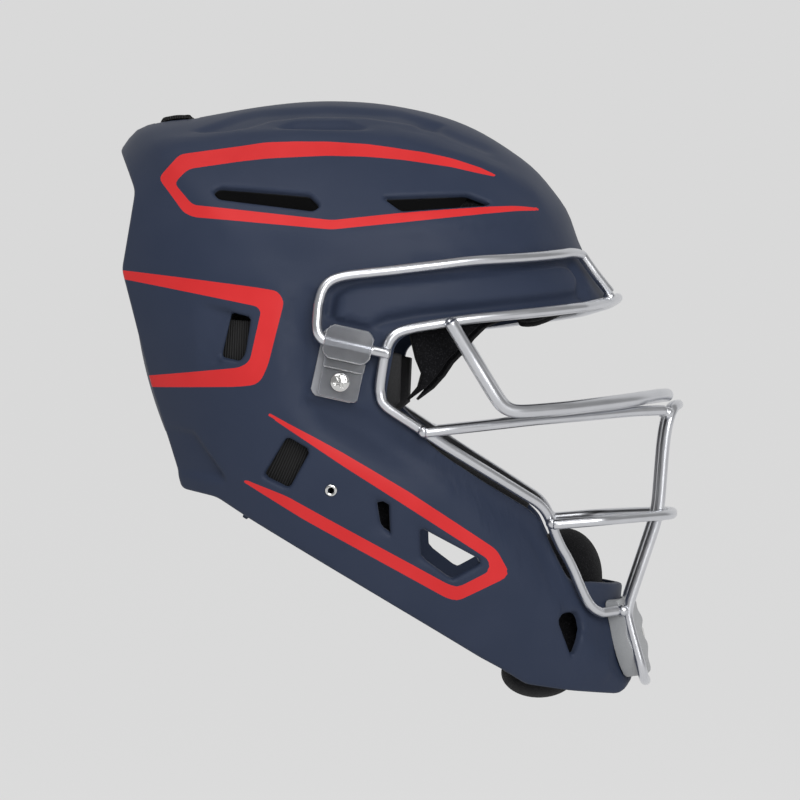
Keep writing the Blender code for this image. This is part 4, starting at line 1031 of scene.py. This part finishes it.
# %% Clips and base plates
def block(bm, width, low, high, inner, outer, chamfer, edge, shift=0.0):
    """A block between two heights and two depths, with chamfered corners and softened edges, in millimetres."""
    part = bmesh.new()
    bmesh.ops.create_cube(part, size=1.0)
    for vert in part.verts:
        x, y, z = vert.co
        vert.co = ((x + 0.5) * (outer - inner) + inner, y * width + shift, (z + 0.5) * (high - low) + low)
    through = [e for e in part.edges if abs(e.verts[0].co.x - e.verts[1].co.x) > 0.1]
    bmesh.ops.bevel(
        part, geom=through, offset=chamfer, offset_type="OFFSET", segments=2, profile=0.35,
        affect="EDGES", material=-1,
    )
    rims = [e for e in part.edges if abs(e.verts[0].co.x - e.verts[1].co.x) < 0.1]
    bmesh.ops.bevel(
        part, geom=rims, offset=edge, offset_type="OFFSET", segments=3, profile=0.5, affect="EDGES", material=-1,
    )
    mesh = bpy.data.meshes.new("part")
    part.to_mesh(mesh)
    part.free()
    bm.from_mesh(mesh)
    bpy.data.meshes.remove(mesh)


def to_clip(bm, side):
    """Moves a shape drawn as (depth, forward, up) about the clip's middle to its place on one side."""
    cos_t, sin_t = math.cos(CLIP_TILT), math.sin(CLIP_TILT)
    for vert in bm.verts:
        depth, w, l = vert.co
        vert.co = world(
            side * (CLIP_INNER + depth), CLIP_CENTRE[0] + cos_t * w + sin_t * l, CLIP_CENTRE[1] - sin_t * w + cos_t * l
        )
    bmesh.ops.recalc_face_normals(bm, faces=bm.faces)
    return bm


def make_clip(side, word):
    clip = bmesh.new()
    block(clip, 24.4, 1.0, 18.4, 0.0, CLIP_THICKNESS, 3.6, 0.9)
    block(clip, 20.6, -18.4, 2.6, 0.0, 3.4, 1.6, 0.7)
    block(clip, 21.2, -3.6, 2.4, 0.0, 6.0, 1.0, 0.9)
    piece = finished("clip_" + word, to_clip(clip, side), CLEAR, sharp=35.0)
    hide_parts("side_clip_" + word)
    plate = bmesh.new()
    block(plate, 23.6, -18.9, 16.4, -2.5, -0.3, 3.0, 0.5, -2.2)
    base = finished("clip_base_plate_" + word, to_clip(plate, side), MILKY, sharp=35.0)
    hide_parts("clip_base_" + word)
    for made in (piece, base):
        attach(made, "helmet")


for side, word in ((1, "left"), (-1, "right")):
    make_clip(side, word)
print("clips made")

# %% Screws with pressed crosses
SHANK = 2.5
HEAD = 4.85


def screw_mesh(shank_length):
    """A round-headed screw standing on z = 0, its shank below, in millimetres."""
    bm = bmesh.new()
    bmesh.ops.create_uvsphere(bm, u_segments=96, v_segments=64, radius=1.0)
    for vert in bm.verts:
        x, y, z = vert.co
        across_arm = min(abs(x), abs(y)) * HEAD
        along_arm = max(abs(x), abs(y)) * HEAD
        pressed = ease((0.85 - across_arm) / 0.3) * ease((3.3 - along_arm) / 0.5)
        height = 1.3 + 1.8 * z - 2.4 * pressed if z > 0 else 0.0
        vert.co = (x * HEAD, y * HEAD, height)
    made = bmesh.ops.create_cone(
        bm, cap_ends=True, segments=24, radius1=SHANK, radius2=SHANK, depth=shank_length
    )["verts"]
    bmesh.ops.translate(bm, verts=made, vec=(0, 0, -shank_length / 2))
    return bm


def put(bm, place, out, turn=0.35):
    """Turns a shape in millimetres so that its z points out, and sets it down at a place."""
    bm.transform(Matrix.Translation(place) @ out.to_track_quat("Z", "Y").to_matrix().to_4x4()
                 @ Matrix.Rotation(turn, 4, "Z") @ Matrix.Scale(MM, 4))
    bmesh.ops.recalc_face_normals(bm, faces=bm.faces)
    return bm


def steel_piece(name, bm, node):
    piece = finished(name, bm, STEEL, sharp=40.0)
    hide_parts(node)
    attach(piece, "helmet")
    return piece


SCREW_F = CLIP_CENTRE[0] - math.sin(CLIP_TILT) * 9.6
SCREW_U = CLIP_CENTRE[1] - math.cos(CLIP_TILT) * 9.6
for side, word in ((1, "left"), (-1, "right")):
    under = world(side * (CLIP_INNER + 3.5), SCREW_F, SCREW_U)
    steel_piece("cross_screw_" + word, put(screw_mesh(15.1), under, Vector((side, 0, 0))), "clip_screw_" + word)
print("clip screws made")

# %% Eyelets and nuts, spun from half sections
def spun(profile, steps=40):
    """A ring or knob spun from (radius, height) pairs, in millimetres."""
    bm = bmesh.new()
    verts = [bm.verts.new((r, 0, h)) for r, h in profile]
    edges = [bm.edges.new(pair) for pair in zip(verts, verts[1:] + verts[:1])]
    bmesh.ops.spin(
        bm, geom=verts + edges, cent=(0, 0, 0), axis=(0, 0, 1), angle=2 * math.pi, steps=steps, use_merge=True
    )
    bmesh.ops.remove_doubles(bm, verts=bm.verts, dist=0.001)
    bmesh.ops.recalc_face_normals(bm, faces=bm.faces)
    return bm


EYELET = [(3.2, 0.1), (3.15, 0.55), (2.8, 0.95), (2.2, 1.1), (1.7, 0.8), (1.5, 0.2), (1.5, -4.4), (2.0, -4.4), (2.05, 0.1)]
NUT = [(6.3, 0.0), (6.5, -0.2), (6.5, -1.0), (6.2, -1.3), (4.1, -1.4), (4.0, -2.8), (3.8, -3.0), (2.8, -3.0), (2.8, 0.0)]
for side, word in ((1, "left"), (-1, "right")):
    spot = on_side(2.3, -73.6, -0.2, side)
    out = Vector(skin_outward(*[np.array([v]) for v in (spot.x / MM, -spot.y / MM, spot.z / MM)])[0])
    steel_piece("eyelet_ring_" + word, put(spun(EYELET), spot, out), "eyelet_" + word)
    top = world(side * (SEAT_ACROSS + 2.2 - WALL - 3.0), SCREW_F, SCREW_U)
    steel_piece("clip_nut_ring_" + word, put(spun(NUT), top, Vector((side, 0, 0))), "clip_nut_" + word)
print("eyelets and nuts spun")

# %% Chin clip, laid over the chin between the loop's legs
def chin_clip_mesh():
    """A curved plate on the front of the chin. Its outer face runs in waves from top to bottom."""
    bm = bmesh.new()
    bmesh.ops.create_cube(bm, size=2.0)
    bmesh.ops.bevel(
        bm, geom=list(bm.edges), offset=0.12, offset_type="OFFSET", segments=3, profile=0.5, affect="EDGES", material=-1
    )
    bmesh.ops.subdivide_edges(bm, edges=[e for e in bm.edges if e.calc_length() > 0.5], cuts=14, use_grid_fill=True)
    for vert in bm.verts:
        a, b, c = vert.co
        up = -153.5 + 20.0 * b - 2.0 * (1 - b) * 0.3 * a * a
        wave = 0.9 * math.sin(up * 0.42) * (1 - b * b)
        thick = 10.2 + wave - 3.2 * max(0.0, b) ** 3
        half = 29.4 - 7.0 * max(0.0, -b) ** 2
        vert.co = on_front(half * a, up, 0.5 + (c + 1) / 2 * thick)
    bmesh.ops.recalc_face_normals(bm, faces=bm.faces)
    return bm


chin_clip = finished("chin_clip_cover", chin_clip_mesh(), GREY, sharp=40.0)
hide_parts("chin_clip")
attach(chin_clip, "helmet")
chin_out = Vector((0, -math.cos(math.radians(8)), math.sin(math.radians(8))))
chin_spot = on_front(0, -154, 0)
steel_piece("chin_cross_screw", put(screw_mesh(13.0), chin_spot + chin_out * 7.8 * MM, chin_out), "chin_screw")
steel_piece("chin_nut_ring", put(spun(NUT), chin_spot - chin_out * (WALL + 0.8) * MM, chin_out), "chin_nut")
print("chin clip made")

# %% [markdown]
# ## Padding
# The pads are foam in knitted covers. Each starts as the plain solid from the frame, gets an even skin of
# small squares, and is blown up a little as cloth, so that its faces crown and its edges round over. Thin
# edge foam and the hanging tails are shaped directly.

# %% Knit, foam and elastic
def knit_cover():
    """Black brushed knit: short fibres that catch light as fine pale specks."""
    finish, nodes, links, shader = new_finish("knit_cover", (0.008, 0.008, 0.009), 0.95)
    shader.inputs["Specular IOR Level"].default_value = 0.15
    shader.inputs["Sheen Weight"].default_value = 0.04
    shader.inputs["Sheen Roughness"].default_value = 0.4
    fuzz = noise(nodes, links, 1400.0, 4.0)
    tone = ramp_between(nodes, links, fuzz.outputs["Fac"], 0.52, 0.72, (0.004, 0.004, 0.005), (0.024, 0.024, 0.027))
    links.new(tone.outputs["Result"], shader.inputs["Base Color"])
    add_bump(nodes, links, shader, fuzz.outputs["Fac"], 0.0005, 0.8)
    return finish


def edge_foam():
    finish, nodes, links, shader = new_finish("edge_foam", (0.012, 0.012, 0.013), 0.8)
    cells = noise(nodes, links, 2200.0, 2.0)
    tone = ramp_between(nodes, links, cells.outputs["Fac"], 0.4, 0.7, (0.008, 0.008, 0.009), (0.02, 0.02, 0.022))
    links.new(tone.outputs["Result"], shader.inputs["Base Color"])
    add_bump(nodes, links, shader, cells.outputs["Fac"], 0.0002, 0.6)
    return finish


def ribbed_elastic():
    """Black elastic webbing, with ribs across it read from the strap's own length in metres, and painted shade in the
    grooves between them.
    """
    finish, nodes, links, shader = new_finish("ribbed_elastic", (0.008, 0.008, 0.009), 0.85)
    run = nodes.new("ShaderNodeAttribute")
    run.attribute_name = "run"
    ribs = nodes.new("ShaderNodeMath")
    ribs.operation = "MULTIPLY"
    ribs.inputs[1].default_value = 2 * math.pi / 0.0013
    links.new(run.outputs["Fac"], ribs.inputs[0])
    wave = nodes.new("ShaderNodeMath")
    wave.operation = "SINE"
    links.new(ribs.outputs["Value"], wave.inputs[0])
    # The rib tone follows the rib height: darker in the grooves and lighter on the crests, as painted shade.
    tone = ramp_between(nodes, links, wave.outputs["Value"], -0.4, 0.9, (0.002, 0.002, 0.002), (0.020, 0.020, 0.021))
    links.new(tone.outputs["Result"], shader.inputs["Base Color"])
    add_bump(nodes, links, shader, wave.outputs["Value"], 0.0003, 0.9)
    return finish


KNIT = knit_cover()
FOAM = edge_foam()
ELASTIC = ribbed_elastic()
print("fabrics ready")

# %% Blow up the covers as cloth
def evaluated_mesh(item):
    depsgraph = bpy.context.evaluated_depsgraph_get()
    return bpy.data.meshes.new_from_object(item.evaluated_get(depsgraph))


def coordinates(mesh):
    found = np.empty(len(mesh.vertices) * 3)
    mesh.vertices.foreach_get("co", found)
    return found.reshape(-1, 3)


def inflate(node, name, voxel=5.0, inward=6.0, outward=1.0):
    """A cover for a frame node: remeshed, blown up as cloth, and held to so many millimetres of movement."""
    mesh = frame["nodes"][node].data.copy()
    mesh.materials.clear()
    item = bpy.data.objects.new(name, mesh)
    bpy.context.scene.collection.objects.link(item)
    bm = bmesh.new()
    bm.from_mesh(mesh)
    bmesh.ops.remove_doubles(bm, verts=bm.verts, dist=1e-5)
    bm.to_mesh(mesh)
    bm.free()
    remesh = item.modifiers.new("remesh", "REMESH")
    remesh.mode = "VOXEL"
    remesh.voxel_size = voxel * MM
    even = evaluated_mesh(item)
    item.modifiers.clear()
    item.data = even
    rest = coordinates(even)
    cloth = item.modifiers.new("cloth", "CLOTH")
    cloth.settings.quality = 4
    cloth.settings.use_pressure = True
    cloth.settings.uniform_pressure_force = 4.0
    cloth.settings.tension_stiffness = 12
    cloth.settings.compression_stiffness = 12
    cloth.settings.effector_weights.gravity = 0.0
    cloth.point_cache.frame_end = 20
    for at in range(1, 21):
        bpy.context.scene.frame_set(at)
    blown = coordinates(evaluated_mesh(item))
    item.modifiers.clear()
    bpy.context.scene.frame_set(1)
    move = blown - rest
    move -= move.mean(axis=0)
    away = (move * rest).sum(axis=1) > 0
    limit = np.where(away, outward, inward) * MM
    length = np.linalg.norm(move, axis=1)
    move *= (np.minimum(length, limit) / np.maximum(length, 1e-9))[:, None]
    even.vertices.foreach_set("co", (rest + move).ravel())
    if node == "front_pad":
        place = coordinates(even)
        middle = 1 - ease((np.abs(place[:, 0]) - 30 * MM) / (45 * MM))
        place[:, 2] += 10 * MM * middle * ease((40 * MM - place[:, 2]) / (30 * MM))
        even.vertices.foreach_set("co", place.ravel())
    if node == "chin_pad":
        place = coordinates(even)
        over = np.maximum(place[:, 2] + 128 * MM, 0.0)
        place[:, 2] -= 0.9 * over
        even.vertices.foreach_set("co", place.ravel())
    smooth = item.modifiers.new("smooth", "SMOOTH")
    smooth.factor = 0.5
    smooth.iterations = 3
    smooth_mesh = evaluated_mesh(item)
    item.modifiers.clear()
    item.data = smooth_mesh
    smooth_mesh.shade_smooth()
    smooth_mesh.materials.append(KNIT)
    finer = item.modifiers.new("finer", "SUBSURF")
    finer.levels = finer.render_levels = 1
    return item


PADS = ["crown_pad", "front_pad", "chin_pad", "back_plate_pad"]
PADS += [kind + word for kind in ("ear_pad_", "jaw_pad_") for word in ("left", "right")]
for node in PADS:
    cover = inflate(node, node + "_cover")
    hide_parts(node)
    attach(cover, "back_plate" if node == "back_plate_pad" else "helmet")
print(len(PADS), "covers blown up")

# %% Chin cushions, over and under the chin's edge
def cushion(bm, forward, up, half_across, half_forward, half_up):
    made = bmesh.ops.create_uvsphere(bm, u_segments=48, v_segments=32, radius=1.0)["verts"]
    for vert in made:
        x, y, z = vert.co
        vert.co = world(half_across * x, forward + half_forward * y - 7.0 * x * x, up + half_up * z)


cushions = bmesh.new()
cushion(cushions, 130.0, -122.5, 36.0, 19.5, 25.5)
cushion(cushions, 116.0, -173.5, 37.0, 20.0, 13.0)
chin_cushions = finished("chin_cushions", cushions, KNIT)
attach(chin_cushions, "helmet")
print("chin cushions laid")

# %% Edge foam and temple tails
def side_cushion(name, outline, inset, thickness, material, side, edge=2.2):
    """A soft flat shape under the side of the skin, from its side outline, with rounded edges."""
    bm = bmesh.new()
    verts = [bm.verts.new((f, u, 0)) for f, u in outline]
    face = bm.faces.new(verts)
    top = bmesh.ops.extrude_face_region(bm, geom=[face])["geom"]
    bmesh.ops.translate(bm, verts=[g for g in top if isinstance(g, bmesh.types.BMVert)], vec=(0, 0, thickness))
    rims = [e for e in bm.edges if abs(e.verts[0].co.z - e.verts[1].co.z) < 0.1]
    bmesh.ops.bevel(
        bm, geom=rims, offset=edge, offset_type="OFFSET", segments=3, profile=0.5, affect="EDGES", material=-1,
        clamp_overlap=True,
    )
    for vert in bm.verts:
        f, u, deep = vert.co
        vert.co = on_side(f, u, -inset - deep, side)
    bmesh.ops.recalc_face_normals(bm, faces=bm.faces)
    piece = finished(name, bm, material, sharp=60.0)
    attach(piece, "helmet")
    return piece


EDGE_FOAM = [(46, -68), (60, -77.5), (80, -87.5), (101, -98), (106, -91), (109, -82), (92, -71), (66, -57), (44, -45)]
TAIL = [
    (45, 20), (58, 21.5), (80, 24), (102, 24), (94, 17), (83, 12), (76, 5), (70, -3), (64, -9), (59, -16.5),
    (52.5, -23.5), (43.5, -29.8), (48.6, -24), (50.6, -17), (47.5, -9), (44.5, 4),
]
EAR_FOAM = [(30.5, -4), (39.5, -6), (39, -30), (33, -34), (30, -30)]
for side, word in ((1, "left"), (-1, "right")):
    side_cushion("ear_foam_" + word, EAR_FOAM, 6.5, 8.0, FOAM, side)
    foam = side_cushion("edge_foam_" + word, EDGE_FOAM, 5.6, 7.0, FOAM, side)
    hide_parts("cheek_edge_pad_" + word)
    tail = side_cushion("temple_cover_" + word, TAIL, 8.5, 6.0, KNIT, side, edge=1.6)
    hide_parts("temple_pad_" + word)
print("edge foam and tails shaped")

# %% [markdown]
# ## Back plate and straps
# The back plate is a curved moulding that slides in and out under the back of the shell. Elastic straps
# pull it in: one over the crown, two a side.

# %% Back plate
PLATE = {"half": 56.0, "curve": 85.0, "top": 82.0, "bottom": -46.0, "rear": -99.0}


def plate_skin(x, up):
    drop = PLATE["curve"] - math.sqrt(PLATE["curve"] ** 2 - x**2)
    return world(x, PLATE["rear"] + 0.0024 * (up - 38.0) ** 2 + drop, up)


def plate_place(s, t, inset):
    half = PLATE["half"] * (1 - 0.4 * (2 * t - 1) ** 6)
    x, up = -half + 2 * half * s, PLATE["bottom"] + (PLATE["top"] - PLATE["bottom"]) * t
    place = plate_skin(x, up)
    inward = (plate_skin(x + 0.1, up) - place).cross(plate_skin(x, up + 0.1) - place).normalized()
    return place + inward * inset * MM


def back_plate_mesh():
    bm = bmesh.new()
    bmesh.ops.create_grid(bm, x_segments=60, y_segments=60, size=0.5)
    for vert in bm.verts:
        s, t = vert.co.x + 0.5, vert.co.y + 0.5
        near_rib = min(abs(abs(s - 0.5) - 0.22), 0.2) / 0.035
        vert.co = plate_place(s, t, 0.3 + 0.9 * math.exp(-near_rib**2) * ease((0.5 - abs(t - 0.5)) / 0.2))
    bmesh.ops.recalc_face_normals(bm, faces=bm.faces)
    outward = sum(f.normal.y for f in bm.faces)
    if outward < 0:
        bmesh.ops.reverse_faces(bm, faces=bm.faces)
    return bm


back_plate = finished("back_plate_moulding", back_plate_mesh())
back_plate.data.materials.append(bpy.data.materials["shell_paint"])
plate_mark = back_plate.data.attributes.new("stripe", "FLOAT", "POINT")
plate_mark.data.foreach_set("value", np.full(len(back_plate.data.vertices), 50.0, dtype=np.float32))
wall = back_plate.modifiers.new("wall", "SOLIDIFY")
wall.thickness = 0.0027
wall.offset = -1.0
edge = back_plate.modifiers.new("edge", "BEVEL")
edge.width = 0.0008
edge.segments = 2
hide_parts("back_plate")
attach(back_plate, "back_plate")
print("back plate moulded")

# %% Elastic straps
def strap(name, points, directions, width, thickness, node):
    """A flat band along a line, marked with its own running length."""
    bm = bmesh.new()
    length, rows, lengths = 0.0, [], []
    for k, (place, direction) in enumerate(zip(points, directions)):
        length += (place - points[k - 1]).length if k else 0.0
        half = direction.normalized() * width / 2
        rows.append([bm.verts.new(place + half * (i / 3 - 1)) for i in range(7)])
        lengths.append(length)
    for a, b in zip(rows, rows[1:]):
        for i in range(6):
            bm.faces.new((a[i], a[i + 1], b[i + 1], b[i]))
    bmesh.ops.recalc_face_normals(bm, faces=bm.faces)
    bmesh.ops.solidify(bm, geom=list(bm.faces), thickness=thickness)
    piece = finished(name, bm, ELASTIC, sharp=40.0)
    mark = piece.data.attributes.new("run", "FLOAT", "POINT")
    co = coordinates(piece.data)
    line = np.array([p + side_sweep(p.x) for p in points])
    segment = line[1:] - line[:-1]
    share = ((co[:, None] - line[None, :-1]) * segment).sum(2) / np.maximum((segment**2).sum(1), 1e-12)
    share = np.clip(share, 0, 1)
    far = np.linalg.norm(co[:, None] - (line[None, :-1] + share[..., None] * segment), axis=2)
    best = far.argmin(axis=1)
    at = np.arange(len(co))
    runs = np.array(lengths)[best] + share[at, best] * np.linalg.norm(segment, axis=1)[best]
    mark.data.foreach_set("value", runs.astype(np.float32))
    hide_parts(node)
    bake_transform(piece)
    return piece


def side_strap(name, run, plate_up, side, width, node):
    points = [on_side(f, u, -(WALL + 1.6 + 0.9), side) for f, u in run]
    share = (plate_up - PLATE["bottom"]) / (PLATE["top"] - PLATE["bottom"])
    points.append(plate_place(0.5 + side * 0.5, share, 1.5) + Vector((side * 2.0 * MM, 0, 0)))
    line = smooth_line(points, 3 * MM)
    directions = []
    for k, place in enumerate(line):
        ahead = line[min(k + 1, len(line) - 1)] - line[max(k - 1, 0)]
        out = skin_outward(*[np.array([v]) for v in (place.x / MM, -place.y / MM, place.z / MM)])[0]
        directions.append(ahead.cross(Vector(out)))
    return strap(name, line, directions, width * MM, 1.8 * MM, node)


for side, word in ((1, "left"), (-1, "right")):
    side_strap("upper_elastic_" + word, [(-28, 1.5), (-47, 1.5), (-64, 3)], 6.0, side, 21, "upper_strap_" + word)
    run = [(-13, -64.8), (-20, -61.8), (-28, -58), (-46, -46), (-62, -38)]
    side_strap("lower_elastic_" + word, run, -27.0, side, 26, "lower_strap_" + word)
print("side straps laid")

# %% Crown strap, over the bar between its two slots
def crown_place(forward, height):
    heights = np.linspace(40, 140, 2001)
    level = skin_level(np.zeros(2001), np.full(2001, forward), heights)
    return world(0, forward, float(heights[np.argmax(level > 0)]) + height)


def crown_strap():
    rear, front, under = -83.75, -67.25, -(WALL + 0.9 + 0.9)
    points = [plate_place(0.5, 1.0, 1.5) + Vector((0, 0, 1.2 * MM))]
    points += [crown_place(f, h) for f, h in (
        (rear, under - 3), (rear, 0), (rear + 1.2, 1.5), (rear + 4, 1.8), ((rear + front) / 2, 2.1), (front - 4, 1.8),
        (front - 1.2, 1.5), (front, 0), (front, -WALL - 0.6), (front + 2.5, under - 1), (front + 9, under - 1),
    )]
    line = smooth_line(points, 1.5 * MM)
    return strap(
        "crown_elastic", line, [Vector((1, 0, 0))] * len(line), 25 * MM, 1.8 * MM, "crown_strap",
    )


crown_strap()
print("crown strap laid")

# %% [markdown]
# ## Camera, floor and light
# The helmet is seen from its right, a little towards its front, from far away with a long lens. The floor
# and the backdrop are one pale sweep, and wide soft lights stand over and in front of it, as in a studio.

# %% Camera
TURN = math.radians(-1.7)
RISE = math.radians(0.0)
DISTANCE = 2.3
aim = Vector((0.0, -0.0424, -0.02915))
back = Vector((-math.cos(TURN) * math.cos(RISE), math.sin(TURN) * math.cos(RISE), math.sin(RISE)))
camera = bpy.data.objects.new("camera", bpy.data.cameras.new("camera"))
bpy.context.scene.collection.objects.link(camera)
camera.data.sensor_width = 36.0
camera.data.lens = 36.0 * DISTANCE / 0.424
camera.location = aim + back * DISTANCE
camera.rotation_euler = back.to_track_quat("Z", "Y").to_euler()
bpy.context.scene.camera = camera
print("camera at", tuple(round(c, 3) for c in camera.location))

# %% Floor and backdrop in one sweep
def sweep():
    """A floor that curves up into a wall, made from one line pulled sideways."""
    bm = bmesh.new()
    line = [(-6.0, -0.42)] + [(1.6 + 1.2 * math.sin(a), 0.78 - 1.2 * math.cos(a)) for a in np.linspace(0, math.pi / 2, 16)]
    line.append((2.8, 6.0))
    verts = [bm.verts.new((x, -7.0, z)) for x, z in line]
    edges = [bm.edges.new(pair) for pair in zip(verts[:-1], verts[1:])]
    pulled = bmesh.ops.extrude_edge_only(bm, edges=edges)["geom"]
    bmesh.ops.translate(bm, verts=[g for g in pulled if isinstance(g, bmesh.types.BMVert)], vec=(0, 14.0, 0))
    return bm


backdrop_finish, nodes, links, shader = new_finish("pale_paper", (0.02, 0.02, 0.02), 0.9)
shader.inputs["Emission Color"].default_value = (0.672, 0.672, 0.672, 1.0)
shader.inputs["Emission Strength"].default_value = 1.0
backdrop = finished("backdrop", sweep(), backdrop_finish, sweep=False)

scene = bpy.context.scene
scene.view_settings.view_transform = "Standard"
scene.world = bpy.data.worlds.new("studio")
scene.world.use_nodes = True
sky = scene.world.node_tree.nodes["Background"]
sky.inputs["Color"].default_value = (0.69, 0.69, 0.69, 1.0)
sky.inputs["Strength"].default_value = 0.42
print("stage set")

# %% Soft lights
def soft_light(name, place, size, power, tall=None, target=(0.0, -0.03, -0.02)):
    lamp = bpy.data.lights.new(name, "AREA")
    lamp.shape = "RECTANGLE"
    lamp.size, lamp.size_y = size, tall or size
    lamp.energy = power
    item = bpy.data.objects.new(name, lamp)
    bpy.context.scene.collection.objects.link(item)
    item.location = place
    item.rotation_euler = (Vector(place) - Vector(target)).to_track_quat("Z", "Y").to_euler()


soft_light("top_light", (-0.9, 0.5, 1.5), 1.0, 9.0)
soft_light("front_light", (-1.9, -0.7, 0.7), 1.3, 27.0)
print("lights placed")
